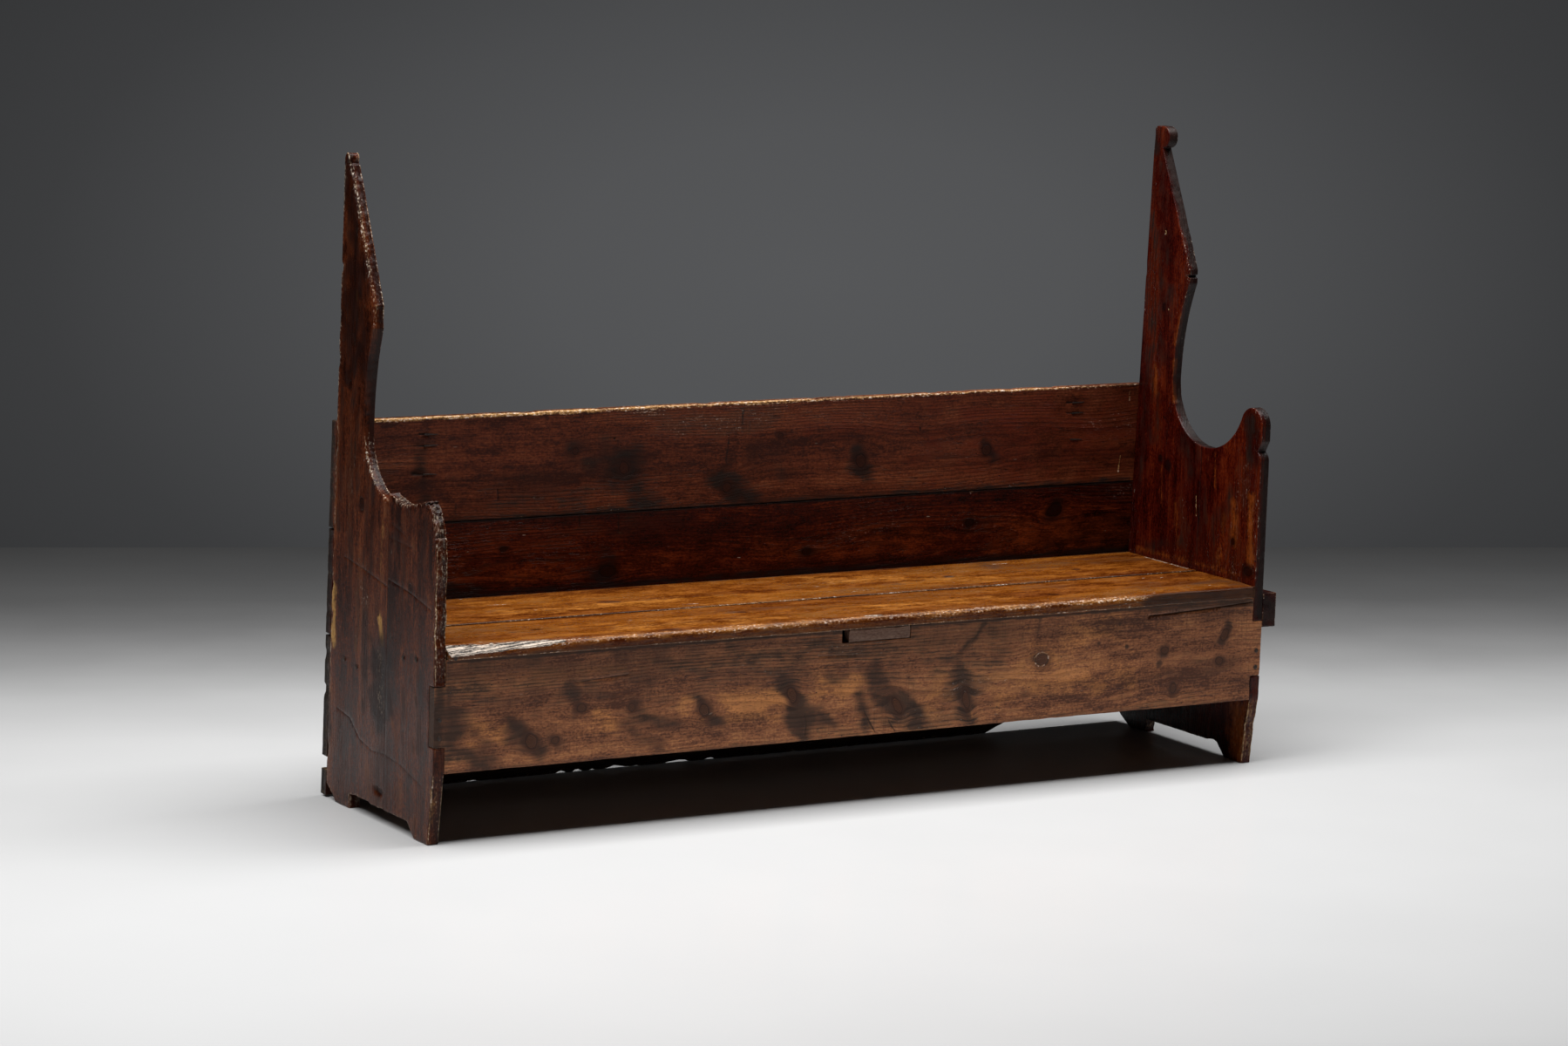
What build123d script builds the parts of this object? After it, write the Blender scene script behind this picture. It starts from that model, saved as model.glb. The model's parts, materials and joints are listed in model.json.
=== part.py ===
from build123d import *
import math
import os

# Box settle bench of old pine planks, in millimetres.
# X runs along the bench, Y from the front to the back and Z up from the floor.
# While it is built, X = 0 is midway between the ends and Y = 0 is the front edge of the ends.

# Ends: each is a front and a rear plank, joined edge to edge
LENGTH = 2100.0           # over the outer faces of the two ends
END_T = 26.0              # thickness of the end planks
END_DEPTH = 515.0         # front edge to rear edge, at the floor
BACK_RAKE = 2.0           # degrees that the rear edges lean forward
FRONT_PLANK_W = 227.0     # width of the front plank

# Feet, cut into the bottom of the ends
FOOT_TOE = 20.0           # how far the front edge steps back at the floor
TOE_TOP = 150.0           # height where that taper starts
FRONT_FOOT_W = 68.0       # front foot on the floor
ARCH_H = 30.0             # height of the cut between the feet
ARCH_SLOPE = 30.0         # run of the slanted inner side of the front foot
REAR_FOOT_W = 71.0        # rear foot on the floor
HEEL_IN = 49.0            # how far the heel steps in at the floor
HEEL_TOP = 30.0           # height where the heel starts

# Horn: the tall rear corner of an end
HORN_TOP = 1430.0         # top of the whole knob
HORN_CORNER_R = 14.0      # rounding of the upper rear corner
KNOB_R = 26.0             # radius of the knob at the top
NECK_W = 35.0             # width of the horn under the knob
BELLY_W = 173.0           # widest place of the horn
BELLY_Z = 1091.0          # height of that place
BELLY_FLAT = 31.0         # its short upright face
BEAD_H = 6.0              # groove across that face
BEAD_DEPTH = 7.0
WAIST_W = 135.0           # narrowest place of the horn, above the arm

# Horn of the left end, worn thinner and without the groove
LEFT_NECK_W = 22.0
LEFT_BELLY_W = 164.0
LEFT_BELLY_Z = 1060.0
LEFT_BELLY_FLAT = 48.0

# Arm: the front corner of an end
ARM_TOP = 820.0           # top of the arm's knob
ARM_KNOB_R = 41.0
ARM_FLAT = 32.0           # upright front of the arm's knob
PINCH_IN = 14.0           # notch under the arm's knob
PINCH_DROP = 98.0         # below the arm's top
SHOULDER_DROP = 22.0      # top of the straight front edge, below the notch
DIP_DROP = 114.0          # lowest place between arm and horn, below the arm's top
LEFT_REAR_WEAR = 18.0     # how much lower that place is on the left rear plank

# Torn edges of the left end: the arm's from the front edge and below the arm's top,
# the knob's from the rear edge and below the horn's top
ARM_BREAK = [(0, 175), (22, 130), (46, 97), (70, 103), (102, 117), (165, 127)]
ARM_BREAK_SEAM = 115.0    # the same edge where it meets the rear plank
KNOB_BREAK = [(40, 66), (19, 62), (20, 48), (17, 41), (9, 38), (2, 44), (-3, 56)]

# Seat: a fixed board behind and a lid in front
SEAT_TOP = 418.0
SEAT_T = 28.0
SEAM_AHEAD = 5.0          # seam between the two boards, in front of the seam of the ends
SEAM_GAP = 2.0
REAR_SEAT_GAP = 1.0       # at each end of the rear board
SEAT_EDGE_R = 3.0         # rounding of the rear board's front edge
LID_END_GAP = 3.0         # at each end of the lid
LID_LIFT = 0.3            # between the lid and what it rests on
NOSE = 16.0               # overhang of the lid in front of the box
NOSE_TOP_R = 12.0
NOSE_UNDER_R = 5.0
LID_BREAK_L = 330.0       # splinter lost from the left end of the nose: length, depth, height
LID_BREAK_IN = 34.0
LID_BREAK_H = 20.0

# Hinge pins of the lid
PIN_D = 10.0
PIN_IN_LID = 55.0
PIN_CLEAR = 0.25          # around the pin in the lid
PIN_END_CLEAR = 3.0

# Front board of the box, with a tongue at each end
FRONT_T = 24.0
FRONT_H = 238.0
TONGUE_H = 128.0
RECESS_X = 13.0           # middle of the old lock recess
RECESS_W = 174.0
RECESS_H = 30.0
PATCH_W = 156.0           # strip that fills most of the recess
PATCH_H = 27.0
PATCH_SINK = 1.5          # behind the face of the front board

# Back boards, nailed on the rear edges of the ends
BACK_T = 24.0
STRIP_CLEAR = 3.0         # floor to the bottom strip
STRIP_H = 58.0
STRIP_RIGHT_H = 34.0      # the strip is narrower near the right end
STRIP_STEP_IN = 345.0     # length of that narrower stretch
STRIP_STEP_RUN = 60.0     # slanted step of its lower edge
OPEN_GAP = 27.0           # open slot above the bottom strip
LOWER_BACK_H = 267.0
MIDDLE_BACK_H = 229.0
UPPER_BACK_H = 232.0
BACK_GAP = 2.0            # between neighbouring boards

# Upright battens behind the back
BATTEN_IN = 210.0         # middle of a batten, from the outer face of the end
BATTEN_W = 70.0
BATTEN_T = 24.0
BATTEN_OVER_SEAT = 12.0   # lower end, above the seat
BATTEN_UNDER_TOP = 14.0   # upper end, below the top of the back

# Cleats under the seat and the batten outside the right end
CLEAT_T = 34.0
CLEAT_H = 90.0
OUTER_T = 39.0
OUTER_H = 80.0
OUTER_RISE = 8.0          # its top, above the underside of the seat
OUTER_SHORT = 30.0        # it stops this far before the rear edge

# Floor of the box
FLOOR_T = 20.0
FLOOR_GAP = 2.0
FLOOR_CLEAT_W = 26.0
FLOOR_CLEAT_H = 22.0
BEARER_W = 44.0

# Dowels in the edge joints of the ends
DOWEL_D = 12.0
DOWEL_L = 80.0
DOWEL_Z = (100.0, 250.0, 560.0)

# Forged nails: square shank, low round head
SHANK = 4.0
HEAD_D = 11.0
HEAD_T = 2.0
HEAD_TAPER = 0.6          # top of the head as a share of its foot
TONGUE_NAIL_UP = (21.0, 59.0)   # above the tongue's lower edge
TONGUE_NAIL_L = 70.0
BACK_NAIL_IN = 45.0       # from the edges of a back board
BACK_NAIL_L = 75.0
SEAT_NAIL_PITCH = 400.0
SEAT_NAILS = 5
SEAT_NAIL_L = 80.0
CLEAT_NAIL_SPOTS = [(148, 19), (87, 12), (370, 78), (430, 72)]   # from the front, below the seat
OUTER_NAILS = 4
OUTER_NAIL_IN = 45.0      # from the ends of the outer batten
NAIL_SHORT = 6.0          # nails stop this far inside the last piece
FLOOR_NAIL_IN = 60.0      # from the long edges of a floor board
CLENCH_DOWN = (38.0, 63.0, 125.0)   # below the top of the upper back board
BATTEN_NAIL_DOWN = (38.0, 118.0)    # below the top of the middle back board
CLENCH_L = 34.0           # bent point of a clenched nail on the front of the back
CLENCH_T = 1.5
LID_NAIL_L = 40.0
LID_NAIL_IN = 10.0        # from the left end of the lid

# Places that follow from the sizes above
HALF = LENGTH / 2
INNER = HALF - END_T
PLANK_X = HALF - END_T / 2
SEAT_UNDER = SEAT_TOP - SEAT_T
LID_UNDER = SEAT_UNDER + LID_LIFT
LID_R = (SEAT_TOP - LID_UNDER) / 2
LID_HALF = INNER - LID_END_GAP
SEAM_Y = FRONT_PLANK_W - SEAM_AHEAD
PIVOT_Y = SEAM_Y - SEAM_GAP / 2 - LID_R
PIVOT_Z = SEAT_TOP - LID_R
DIP_Z = ARM_TOP - DIP_DROP
PINCH_Z = ARM_TOP - PINCH_DROP
SHOULDER_Z = PINCH_Z - SHOULDER_DROP
STRIP_TOP = STRIP_CLEAR + STRIP_H
LOWER_LOW = STRIP_TOP + OPEN_GAP
MIDDLE_LOW = LOWER_LOW + LOWER_BACK_H + BACK_GAP
UPPER_LOW = MIDDLE_LOW + MIDDLE_BACK_H + BACK_GAP
BACK_TOP = UPPER_LOW + UPPER_BACK_H
BATTEN_X = HALF - BATTEN_IN
FRONT_BOTTOM = SEAT_UNDER - FRONT_H
TONGUE_LOW = FRONT_BOTTOM + (FRONT_H - TONGUE_H) / 2
FLOOR_UNDER = FRONT_BOTTOM + FLOOR_CLEAT_H
FLOOR_TOP = FLOOR_UNDER + FLOOR_T
# A horn's neck, its belly's width, height and flat, and the depth of its groove
LEFT_HORN = (LEFT_NECK_W, LEFT_BELLY_W, LEFT_BELLY_Z, LEFT_BELLY_FLAT, 0)
RIGHT_HORN = (NECK_W, BELLY_W, BELLY_Z, BELLY_FLAT, BEAD_DEPTH)
RAKE = math.radians(BACK_RAKE)
# Plane of the rear edges: local Y points out of the back, local Z up along it
BACK = Plane(origin=(0, END_DEPTH, 0), x_dir=(1, 0, 0), z_dir=(0, -math.sin(RAKE), math.cos(RAKE)))
OUTWARD = BACK.y_dir


def rear_y(z):
    """Distance of the ends' rear edge from the front at a height."""
    return END_DEPTH - z * math.tan(RAKE)


def slab(x0, x1, y0, y1, z0, z1):
    """Box between two opposite corners."""
    return Pos((x0 + x1) / 2, (y0 + y1) / 2, (z0 + z1) / 2) * Box(x1 - x0, y1 - y0, z1 - z0)


def on_circle(centre, radius, degrees):
    """Point of a circle in an outline, counted from the +Y direction."""
    turn = math.radians(degrees)
    return (centre[0] + radius * math.cos(turn), centre[1] + radius * math.sin(turn))


def plate(lines, x0, x1):
    """Plank cut from an outline of (Y, Z) lines, between two X places."""
    face = make_face([edge for line in lines for edge in (Plane.YZ * line).edges()])
    return Pos(x0, 0, 0) * extrude(face, amount=x1 - x0, dir=(1, 0, 0))


def end_lines(dip_z, horn):
    """Outline of a whole end, from the toe up the front, over arm and horn and down the rear edge."""
    neck_w, belly_w, belly_z, belly_flat, groove_depth = horn
    knob = (rear_y(HORN_TOP - KNOB_R) - neck_w, HORN_TOP - KNOB_R)
    arm = (ARM_KNOB_R, ARM_TOP - ARM_KNOB_R)
    belly_y = rear_y(belly_z) - belly_w
    belly_low = belly_z - belly_flat / 2
    belly_high = belly_z + belly_flat / 2
    groove = []
    if groove_depth:
        groove = [
            (belly_y, belly_z - BEAD_H / 2),
            (belly_y + groove_depth, belly_z),
            (belly_y, belly_z + BEAD_H / 2),
        ]
    # The sweep between arm and horn is one circle: it touches the dip, the arm's knob and the waist
    waist_y = rear_y(ARM_TOP) - WAIST_W
    run = waist_y - arm[0]
    fall = dip_z - arm[1]
    half_sum = run - fall + ARM_KNOB_R
    sweep_r = half_sum - math.sqrt(half_sum ** 2 - (run ** 2 + fall ** 2 - ARM_KNOB_R ** 2))
    sweep = (waist_y - sweep_r, dip_z + sweep_r)
    lean = math.degrees(math.atan2(sweep[1] - arm[1], sweep[0] - arm[0]))
    touch = on_circle(arm, ARM_KNOB_R, lean)
    waist = (waist_y, sweep[1])
    # Above the waist an arc that starts upright runs forward to the belly
    rise = belly_low - waist[1]
    reach = waist_y - belly_y
    upper_r = (rise ** 2 + reach ** 2) / (2 * reach)
    upper = (waist_y - upper_r, waist[1])
    upper_turn = math.degrees(math.asin(rise / upper_r))
    corner = (rear_y(HORN_TOP - HORN_CORNER_R) - HORN_CORNER_R, HORN_TOP - HORN_CORNER_R)
    corner_end = on_circle(corner, HORN_CORNER_R, 0)
    heel_y = END_DEPTH - HEEL_IN
    points_low = [
        corner_end,
        (rear_y(HEEL_TOP), HEEL_TOP),
        (heel_y, 0),
        (heel_y - REAR_FOOT_W, 0),
        (heel_y - REAR_FOOT_W, ARCH_H),
        (FOOT_TOE + FRONT_FOOT_W + ARCH_SLOPE, ARCH_H),
        (FOOT_TOE + FRONT_FOOT_W, 0),
        (FOOT_TOE, 0),
        (0, TOE_TOP),
        (0, SHOULDER_Z),
    ]
    pinch = (PINCH_IN, PINCH_Z)
    shoulder_r = (PINCH_IN ** 2 + (PINCH_Z - SHOULDER_Z) ** 2) / (2 * PINCH_IN)
    shoulder_turn = math.degrees(math.asin((PINCH_Z - SHOULDER_Z) / shoulder_r))
    shoulder = on_circle((shoulder_r, SHOULDER_Z), shoulder_r, 180 - shoulder_turn / 2)
    return [
        Polyline(*points_low),
        ThreePointArc((0, SHOULDER_Z), shoulder, pinch),
        Polyline(pinch, (0, arm[1] - ARM_FLAT), (0, arm[1])),
        ThreePointArc((0, arm[1]), on_circle(arm, ARM_KNOB_R, 90), touch),
        ThreePointArc(touch, on_circle(sweep, sweep_r, 270), waist),
        ThreePointArc(waist, on_circle(upper, upper_r, upper_turn / 2), (belly_y, belly_low)),
        Polyline((belly_y, belly_low), *groove, (belly_y, belly_high), on_circle(knob, KNOB_R, 270)),
        ThreePointArc(*[on_circle(knob, KNOB_R, turn) for turn in (270, 180, 90)]),
        Line(on_circle(knob, KNOB_R, 90), on_circle(corner, HORN_CORNER_R, 90)),
        ThreePointArc(*[on_circle(corner, HORN_CORNER_R, turn) for turn in (90, 45, 0)]),
    ]


def above(edge, top):
    """Closed outline of everything above a torn edge."""
    return [Polyline(*edge, (edge[-1][0], top), (edge[0][0], top), edge[0])]


def end_planks(x0, dip_rear, horn):
    """Front and rear plank of one end, its outer or inner face at x0."""
    seam = FRONT_PLANK_W
    reach = END_DEPTH + NOSE
    front_side = slab(x0, x0 + END_T, -reach, seam, -reach, HORN_TOP + reach)
    rear_side = slab(x0, x0 + END_T, seam, reach, -reach, HORN_TOP + reach)
    front = plate(end_lines(DIP_Z, horn), x0, x0 + END_T) & front_side
    rear = plate(end_lines(dip_rear, horn), x0, x0 + END_T) & rear_side
    return front, rear


def nail(length, origin, outward):
    """Forged nail with its head on a surface and its shank going in."""
    shank = Pos(0, 0, -length / 2) * Box(SHANK, SHANK, length)
    head = Pos(0, 0, HEAD_T / 2) * Cone(HEAD_D / 2, HEAD_TAPER * HEAD_D / 2, HEAD_T)
    return Plane(origin=origin, x_dir=across(outward), z_dir=outward) * (shank + head)


def across(outward):
    """Side direction for a nail, level and square to it."""
    side = Vector(0, 0, 1).cross(Vector(outward))
    return side if side.length > 0.5 else Vector(1, 0, 0)


def on_back(x, out, up):
    """Point given along the raked back: along the bench, out of the back and up it."""
    return BACK.from_local_coords(Vector(x, out, up))


def fitted(piece, *groups):
    """Piece with the room that nails, pins or dowels take up."""
    for group in groups:
        for peg in group:
            piece = piece - peg
    return piece


# Nails, pins and dowels first, because the planks are cut to hold them
dowels = []
for side in (-1, 1):
    for z in DOWEL_Z:
        dowels.append(Pos(side * PLANK_X, FRONT_PLANK_W, z) * Rot(90, 0, 0) * Cylinder(DOWEL_D / 2, DOWEL_L))

pin_l = END_T + LID_END_GAP + PIN_IN_LID
pins = []
pin_rooms = []
for side in (-1, 1):
    middle = Pos(side * (HALF - pin_l / 2), PIVOT_Y, PIVOT_Z) * Rot(0, 90, 0)
    pins.append(middle * Cylinder(PIN_D / 2, pin_l))
    pin_rooms.append(middle * Cylinder(PIN_D / 2 + PIN_CLEAR, pin_l + 2 * PIN_END_CLEAR))

tongue_nails = []
for side in (-1, 1):
    for up in TONGUE_NAIL_UP:
        tongue_nails.append(nail(TONGUE_NAIL_L, (side * PLANK_X, 0, TONGUE_LOW + up), (0, -1, 0)))

back_rows = [
    (UPPER_LOW, BACK_TOP),
    (MIDDLE_LOW, MIDDLE_LOW + MIDDLE_BACK_H),
    (LOWER_LOW, LOWER_LOW + LOWER_BACK_H),
]
nail_rows = [STRIP_TOP - STRIP_RIGHT_H / 2]
for low, high in back_rows:
    nail_rows += [low + BACK_NAIL_IN, high - BACK_NAIL_IN]
back_nails = []
for side in (-1, 1):
    for up in nail_rows:
        back_nails.append(nail(BACK_NAIL_L, on_back(side * PLANK_X, BACK_T, up), OUTWARD))

seat_nails = []
for count in range(SEAT_NAILS):
    x = (count - (SEAT_NAILS - 1) / 2) * SEAT_NAIL_PITCH
    seat_nails.append(nail(SEAT_NAIL_L, on_back(x, BACK_T, (SEAT_TOP + SEAT_UNDER) / 2), OUTWARD))

cleat_nails = []
for y, down in CLEAT_NAIL_SPOTS:
    cleat_nails.append(nail(END_T + CLEAT_T - NAIL_SHORT, (-HALF, y, SEAT_UNDER - down), (-1, 0, 0)))

outer_top = SEAT_UNDER + OUTER_RISE
outer_l = rear_y(outer_top) - OUTER_SHORT
outer_nails = []
for count in range(OUTER_NAILS):
    y = OUTER_NAIL_IN + count * (outer_l - 2 * OUTER_NAIL_IN) / (OUTER_NAILS - 1)
    length = OUTER_T + END_T + CLEAT_T - NAIL_SHORT
    outer_nails.append(nail(length, (HALF + OUTER_T, y, outer_top - OUTER_H / 2), (1, 0, 0)))

clenched = []
for side in (-1, 1):
    for down in CLENCH_DOWN:
        up = BACK_TOP - down
        length = BATTEN_T + BACK_T + CLENCH_T
        shank = nail(length, on_back(side * BATTEN_X, BACK_T + BATTEN_T, up), OUTWARD)
        x = side * BATTEN_X
        point = slab(x - SHANK / 2, x - SHANK / 2 + CLENCH_L, -CLENCH_T, 0, up - SHANK / 2, up + SHANK / 2)
        clenched.append(shank + BACK * point)

batten_nails = []
for side in (-1, 1):
    for down in BATTEN_NAIL_DOWN:
        spot = on_back(side * BATTEN_X, BACK_T + BATTEN_T, MIDDLE_LOW + MIDDLE_BACK_H - down)
        batten_nails.append(nail(BATTEN_T + BACK_T - NAIL_SHORT, spot, OUTWARD))

floor_rear = rear_y(FLOOR_TOP)
floor_w = (floor_rear - FRONT_T - FLOOR_GAP) / 2
floor_edges = [(FRONT_T, FRONT_T + floor_w), (floor_rear - floor_w, floor_rear)]
down_y = []
for y0, y1 in floor_edges:
    down_y += [y0 + FLOOR_NAIL_IN, y1 - FLOOR_NAIL_IN]
floor_nails = []
for x in (FLOOR_CLEAT_W / 2 - INNER, 0, INNER - FLOOR_CLEAT_W / 2):
    for y in down_y:
        floor_nails.append(nail(FLOOR_T + FLOOR_CLEAT_H - NAIL_SHORT, (x, y, FLOOR_TOP), (0, 0, 1)))
# The nails that hold the cleats to the ends lie midway between those
for side in (-1, 1):
    for y0, y1 in zip(down_y, down_y[1:]):
        spot = (side * (INNER - FLOOR_CLEAT_W), (y0 + y1) / 2, FLOOR_UNDER - FLOOR_CLEAT_H / 2)
        floor_nails.append(nail(FLOOR_CLEAT_W + END_T - NAIL_SHORT, spot, (-side, 0, 0)))

# End planks, notched at the front for the tongues of the front board
left_front, left_rear = end_planks(-HALF, DIP_Z - LEFT_REAR_WEAR, LEFT_HORN)
right_front, right_rear = end_planks(HALF - END_T, DIP_Z, RIGHT_HORN)
torn_top = HORN_TOP + KNOB_R
arm_edge = [(y, ARM_TOP - down) for y, down in ARM_BREAK]
arm_edge.append((FRONT_PLANK_W, ARM_TOP - ARM_BREAK_SEAM))
left_front -= plate(above(arm_edge, torn_top), -HALF, -INNER)
knob_edge = [(rear_y(HORN_TOP) - y, HORN_TOP - down) for y, down in KNOB_BREAK]
knob_edge.insert(0, (knob_edge[0][0] - 2 * KNOB_R, knob_edge[0][1]))
knob_edge.append((END_DEPTH, knob_edge[-1][1]))
left_rear -= plate(above(knob_edge, torn_top), -HALF, -INNER)
tongue = slab(-HALF, HALF, 0, FRONT_T, TONGUE_LOW, TONGUE_LOW + TONGUE_H)
end_pegs = (dowels, pins, tongue_nails, back_nails, cleat_nails, outer_nails, floor_nails)

nodes = {}
nodes["left_front_plank"] = fitted(left_front - tongue, *end_pegs)
nodes["left_rear_plank"] = fitted(left_rear, *end_pegs)
nodes["right_front_plank"] = fitted(right_front - tongue, *end_pegs)
nodes["right_rear_plank"] = fitted(right_rear, *end_pegs)
nodes["plank_dowels"] = dowels

# Front board, its recess and the strip in the recess
front_board = slab(-INNER, INNER, 0, FRONT_T, FRONT_BOTTOM, SEAT_UNDER) + tongue
recess_left = RECESS_X - RECESS_W / 2
recess_right = RECESS_X + RECESS_W / 2
recess_low = SEAT_UNDER - RECESS_H
front_board -= slab(recess_left, recess_right, 0, FRONT_T, recess_low, SEAT_UNDER)
nodes["front_board"] = fitted(front_board, tongue_nails)
nodes["lock_patch"] = slab(
    recess_right - PATCH_W, recess_right, PATCH_SINK, FRONT_T, recess_low, recess_low + PATCH_H
)

# Back boards and the battens behind them
for name, (low, high) in zip(("upper_back_board", "middle_back_board", "lower_back_board"), back_rows):
    board = BACK * slab(-HALF, HALF, 0, BACK_T, low, high)
    nodes[name] = fitted(board, back_nails, seat_nails, clenched, batten_nails)
step_x = HALF - STRIP_STEP_IN
step_z = STRIP_TOP - STRIP_RIGHT_H
strip_edge = Polyline(
    (-HALF, STRIP_TOP), (HALF, STRIP_TOP), (HALF, step_z), (step_x, step_z),
    (step_x - STRIP_STEP_RUN, STRIP_CLEAR), (-HALF, STRIP_CLEAR),
    close=True,
)
strip_face = make_face((Plane.XZ * strip_edge).edges())
strip = BACK * extrude(strip_face, amount=BACK_T, dir=(0, 1, 0))
nodes["bottom_back_strip"] = fitted(strip, back_nails)
batten_low = SEAT_TOP + BATTEN_OVER_SEAT
batten_high = BACK_TOP - BATTEN_UNDER_TOP
for name, side in (("left_rear_batten", -1), ("right_rear_batten", 1)):
    x = side * BATTEN_X
    batten = BACK * slab(
        x - BATTEN_W / 2, x + BATTEN_W / 2, BACK_T, BACK_T + BATTEN_T, batten_low, batten_high
    )
    nodes[name] = fitted(batten, clenched, batten_nails)

# Seat: rear board, and the lid with a round rear edge about its pins
seat_rear = rear_y(SEAT_TOP)
rear_x = INNER - REAR_SEAT_GAP
seat_board = slab(-rear_x, rear_x, SEAM_Y + SEAM_GAP / 2, seat_rear, SEAT_UNDER, SEAT_TOP)
upper_front_edge = seat_board.edges().filter_by(Axis.X).sort_by(Axis.Y)[:2].sort_by(Axis.Z)[-1]
seat_board = fillet(upper_front_edge, SEAT_EDGE_R)
nodes["seat_rear_board"] = fitted(seat_board, seat_nails)

nose_top = (NOSE_TOP_R - NOSE, SEAT_TOP - NOSE_TOP_R)
nose_under = (NOSE_UNDER_R - NOSE, LID_UNDER + NOSE_UNDER_R)
pivot = (PIVOT_Y, PIVOT_Z)
lid_lines = [
    Line(on_circle(nose_top, NOSE_TOP_R, 90), on_circle(pivot, LID_R, 90)),
    ThreePointArc(*[on_circle(pivot, LID_R, turn) for turn in (90, 0, -90)]),
    Line(on_circle(pivot, LID_R, -90), on_circle(nose_under, NOSE_UNDER_R, 270)),
    ThreePointArc(*[on_circle(nose_under, NOSE_UNDER_R, turn) for turn in (270, 225, 180)]),
    Line(on_circle(nose_under, NOSE_UNDER_R, 180), on_circle(nose_top, NOSE_TOP_R, 180)),
    ThreePointArc(*[on_circle(nose_top, NOSE_TOP_R, turn) for turn in (180, 135, 90)]),
]
lid = plate(lid_lines, -LID_HALF, LID_HALF)
tear_inner = Vector(-LID_HALF, LID_BREAK_IN - NOSE, SEAT_TOP)
tear_far = Vector(LID_BREAK_L - LID_HALF, -NOSE, SEAT_TOP)
tear_low = Vector(-LID_HALF, -NOSE, SEAT_TOP - LID_BREAK_H)
tear_normal = (tear_low - tear_inner).cross(tear_far - tear_inner)
lid = split(lid, bisect_by=Plane(origin=tear_inner, z_dir=tear_normal), keep=Keep.BOTTOM)
lid_nails = [nail(LID_NAIL_L, (LID_NAIL_IN - LID_HALF, -NOSE, LID_UNDER + HEAD_D / 2), (0, -1, 0))]
nodes["seat_lid"] = fitted(lid, pin_rooms, lid_nails)
nodes["lid_nail"] = lid_nails
nodes["hinge_pins"] = pins

# Cleats under the seat, and the batten outside the right end
cleat_rear = rear_y(SEAT_UNDER)
for name, x0 in (("left_seat_cleat", -INNER), ("right_seat_cleat", INNER - CLEAT_T)):
    cleat = slab(x0, x0 + CLEAT_T, FRONT_T, cleat_rear, SEAT_UNDER - CLEAT_H, SEAT_UNDER)
    nodes[name] = fitted(cleat, cleat_nails, outer_nails)
outer = slab(HALF, HALF + OUTER_T, 0, outer_l, outer_top - OUTER_H, outer_top)
nodes["right_outer_batten"] = fitted(outer, outer_nails)

# Floor of the box
for name, (y0, y1) in zip(("front_floor_board", "rear_floor_board"), floor_edges):
    nodes[name] = fitted(slab(-INNER, INNER, y0, y1, FLOOR_UNDER, FLOOR_TOP), floor_nails)
carriers = (
    ("left_floor_cleat", -INNER, FLOOR_CLEAT_W),
    ("right_floor_cleat", INNER - FLOOR_CLEAT_W, FLOOR_CLEAT_W),
    ("floor_bearer", -BEARER_W / 2, BEARER_W),
)
for name, x0, width in carriers:
    carrier = slab(x0, x0 + width, FRONT_T, floor_rear, FRONT_BOTTOM, FLOOR_UNDER)
    nodes[name] = fitted(carrier, floor_nails)

nodes["tongue_nails"] = tongue_nails
nodes["back_nails"] = back_nails
nodes["seat_board_nails"] = seat_nails
nodes["cleat_nails"] = cleat_nails
nodes["outer_batten_nails"] = outer_nails
nodes["clenched_nails"] = clenched
nodes["batten_nails"] = batten_nails
nodes["floor_nails"] = floor_nails

# The origin of the finished part is the middle of its overall box, on the floor
solids = {}
for name, shape in nodes.items():
    pieces = shape if isinstance(shape, list) else [shape]
    solids[name] = [solid for piece in pieces for solid in piece.solids()]
boxes = [solid.bounding_box() for group in solids.values() for solid in group]
low = Vector(*[min(getattr(box.min, axis) for box in boxes) for axis in "XYZ"])
high = Vector(*[max(getattr(box.max, axis) for box in boxes) for axis in "XYZ"])
shift = Pos(-(low.X + high.X) / 2, -(low.Y + high.Y) / 2, -low.Z)
os.makedirs("parts", exist_ok=True)
for name, group in solids.items():
    moved = [shift * solid for solid in group]
    export_step(Compound(children=moved), f"parts/{name}.step")

place = shift.position
print("nodes", len(solids), "overall", high - low)
print("shift", place)
print("lid axis Y, Z", PIVOT_Y + place.Y, PIVOT_Z + place.Z)
print("box inside: X", INNER, "front", FRONT_T + place.Y, "rear", rear_y(SEAT_UNDER) + place.Y)
print("box inside: Z", FLOOR_TOP + place.Z, SEAT_UNDER + place.Z)
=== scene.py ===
import json
import math
from collections import namedtuple
from dataclasses import dataclass

import bmesh
import bpy
import numpy as np
from mathutils import Matrix, Vector
from mathutils.geometry import delaunay_2d_cdt
from mathutils.kdtree import KDTree


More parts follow.
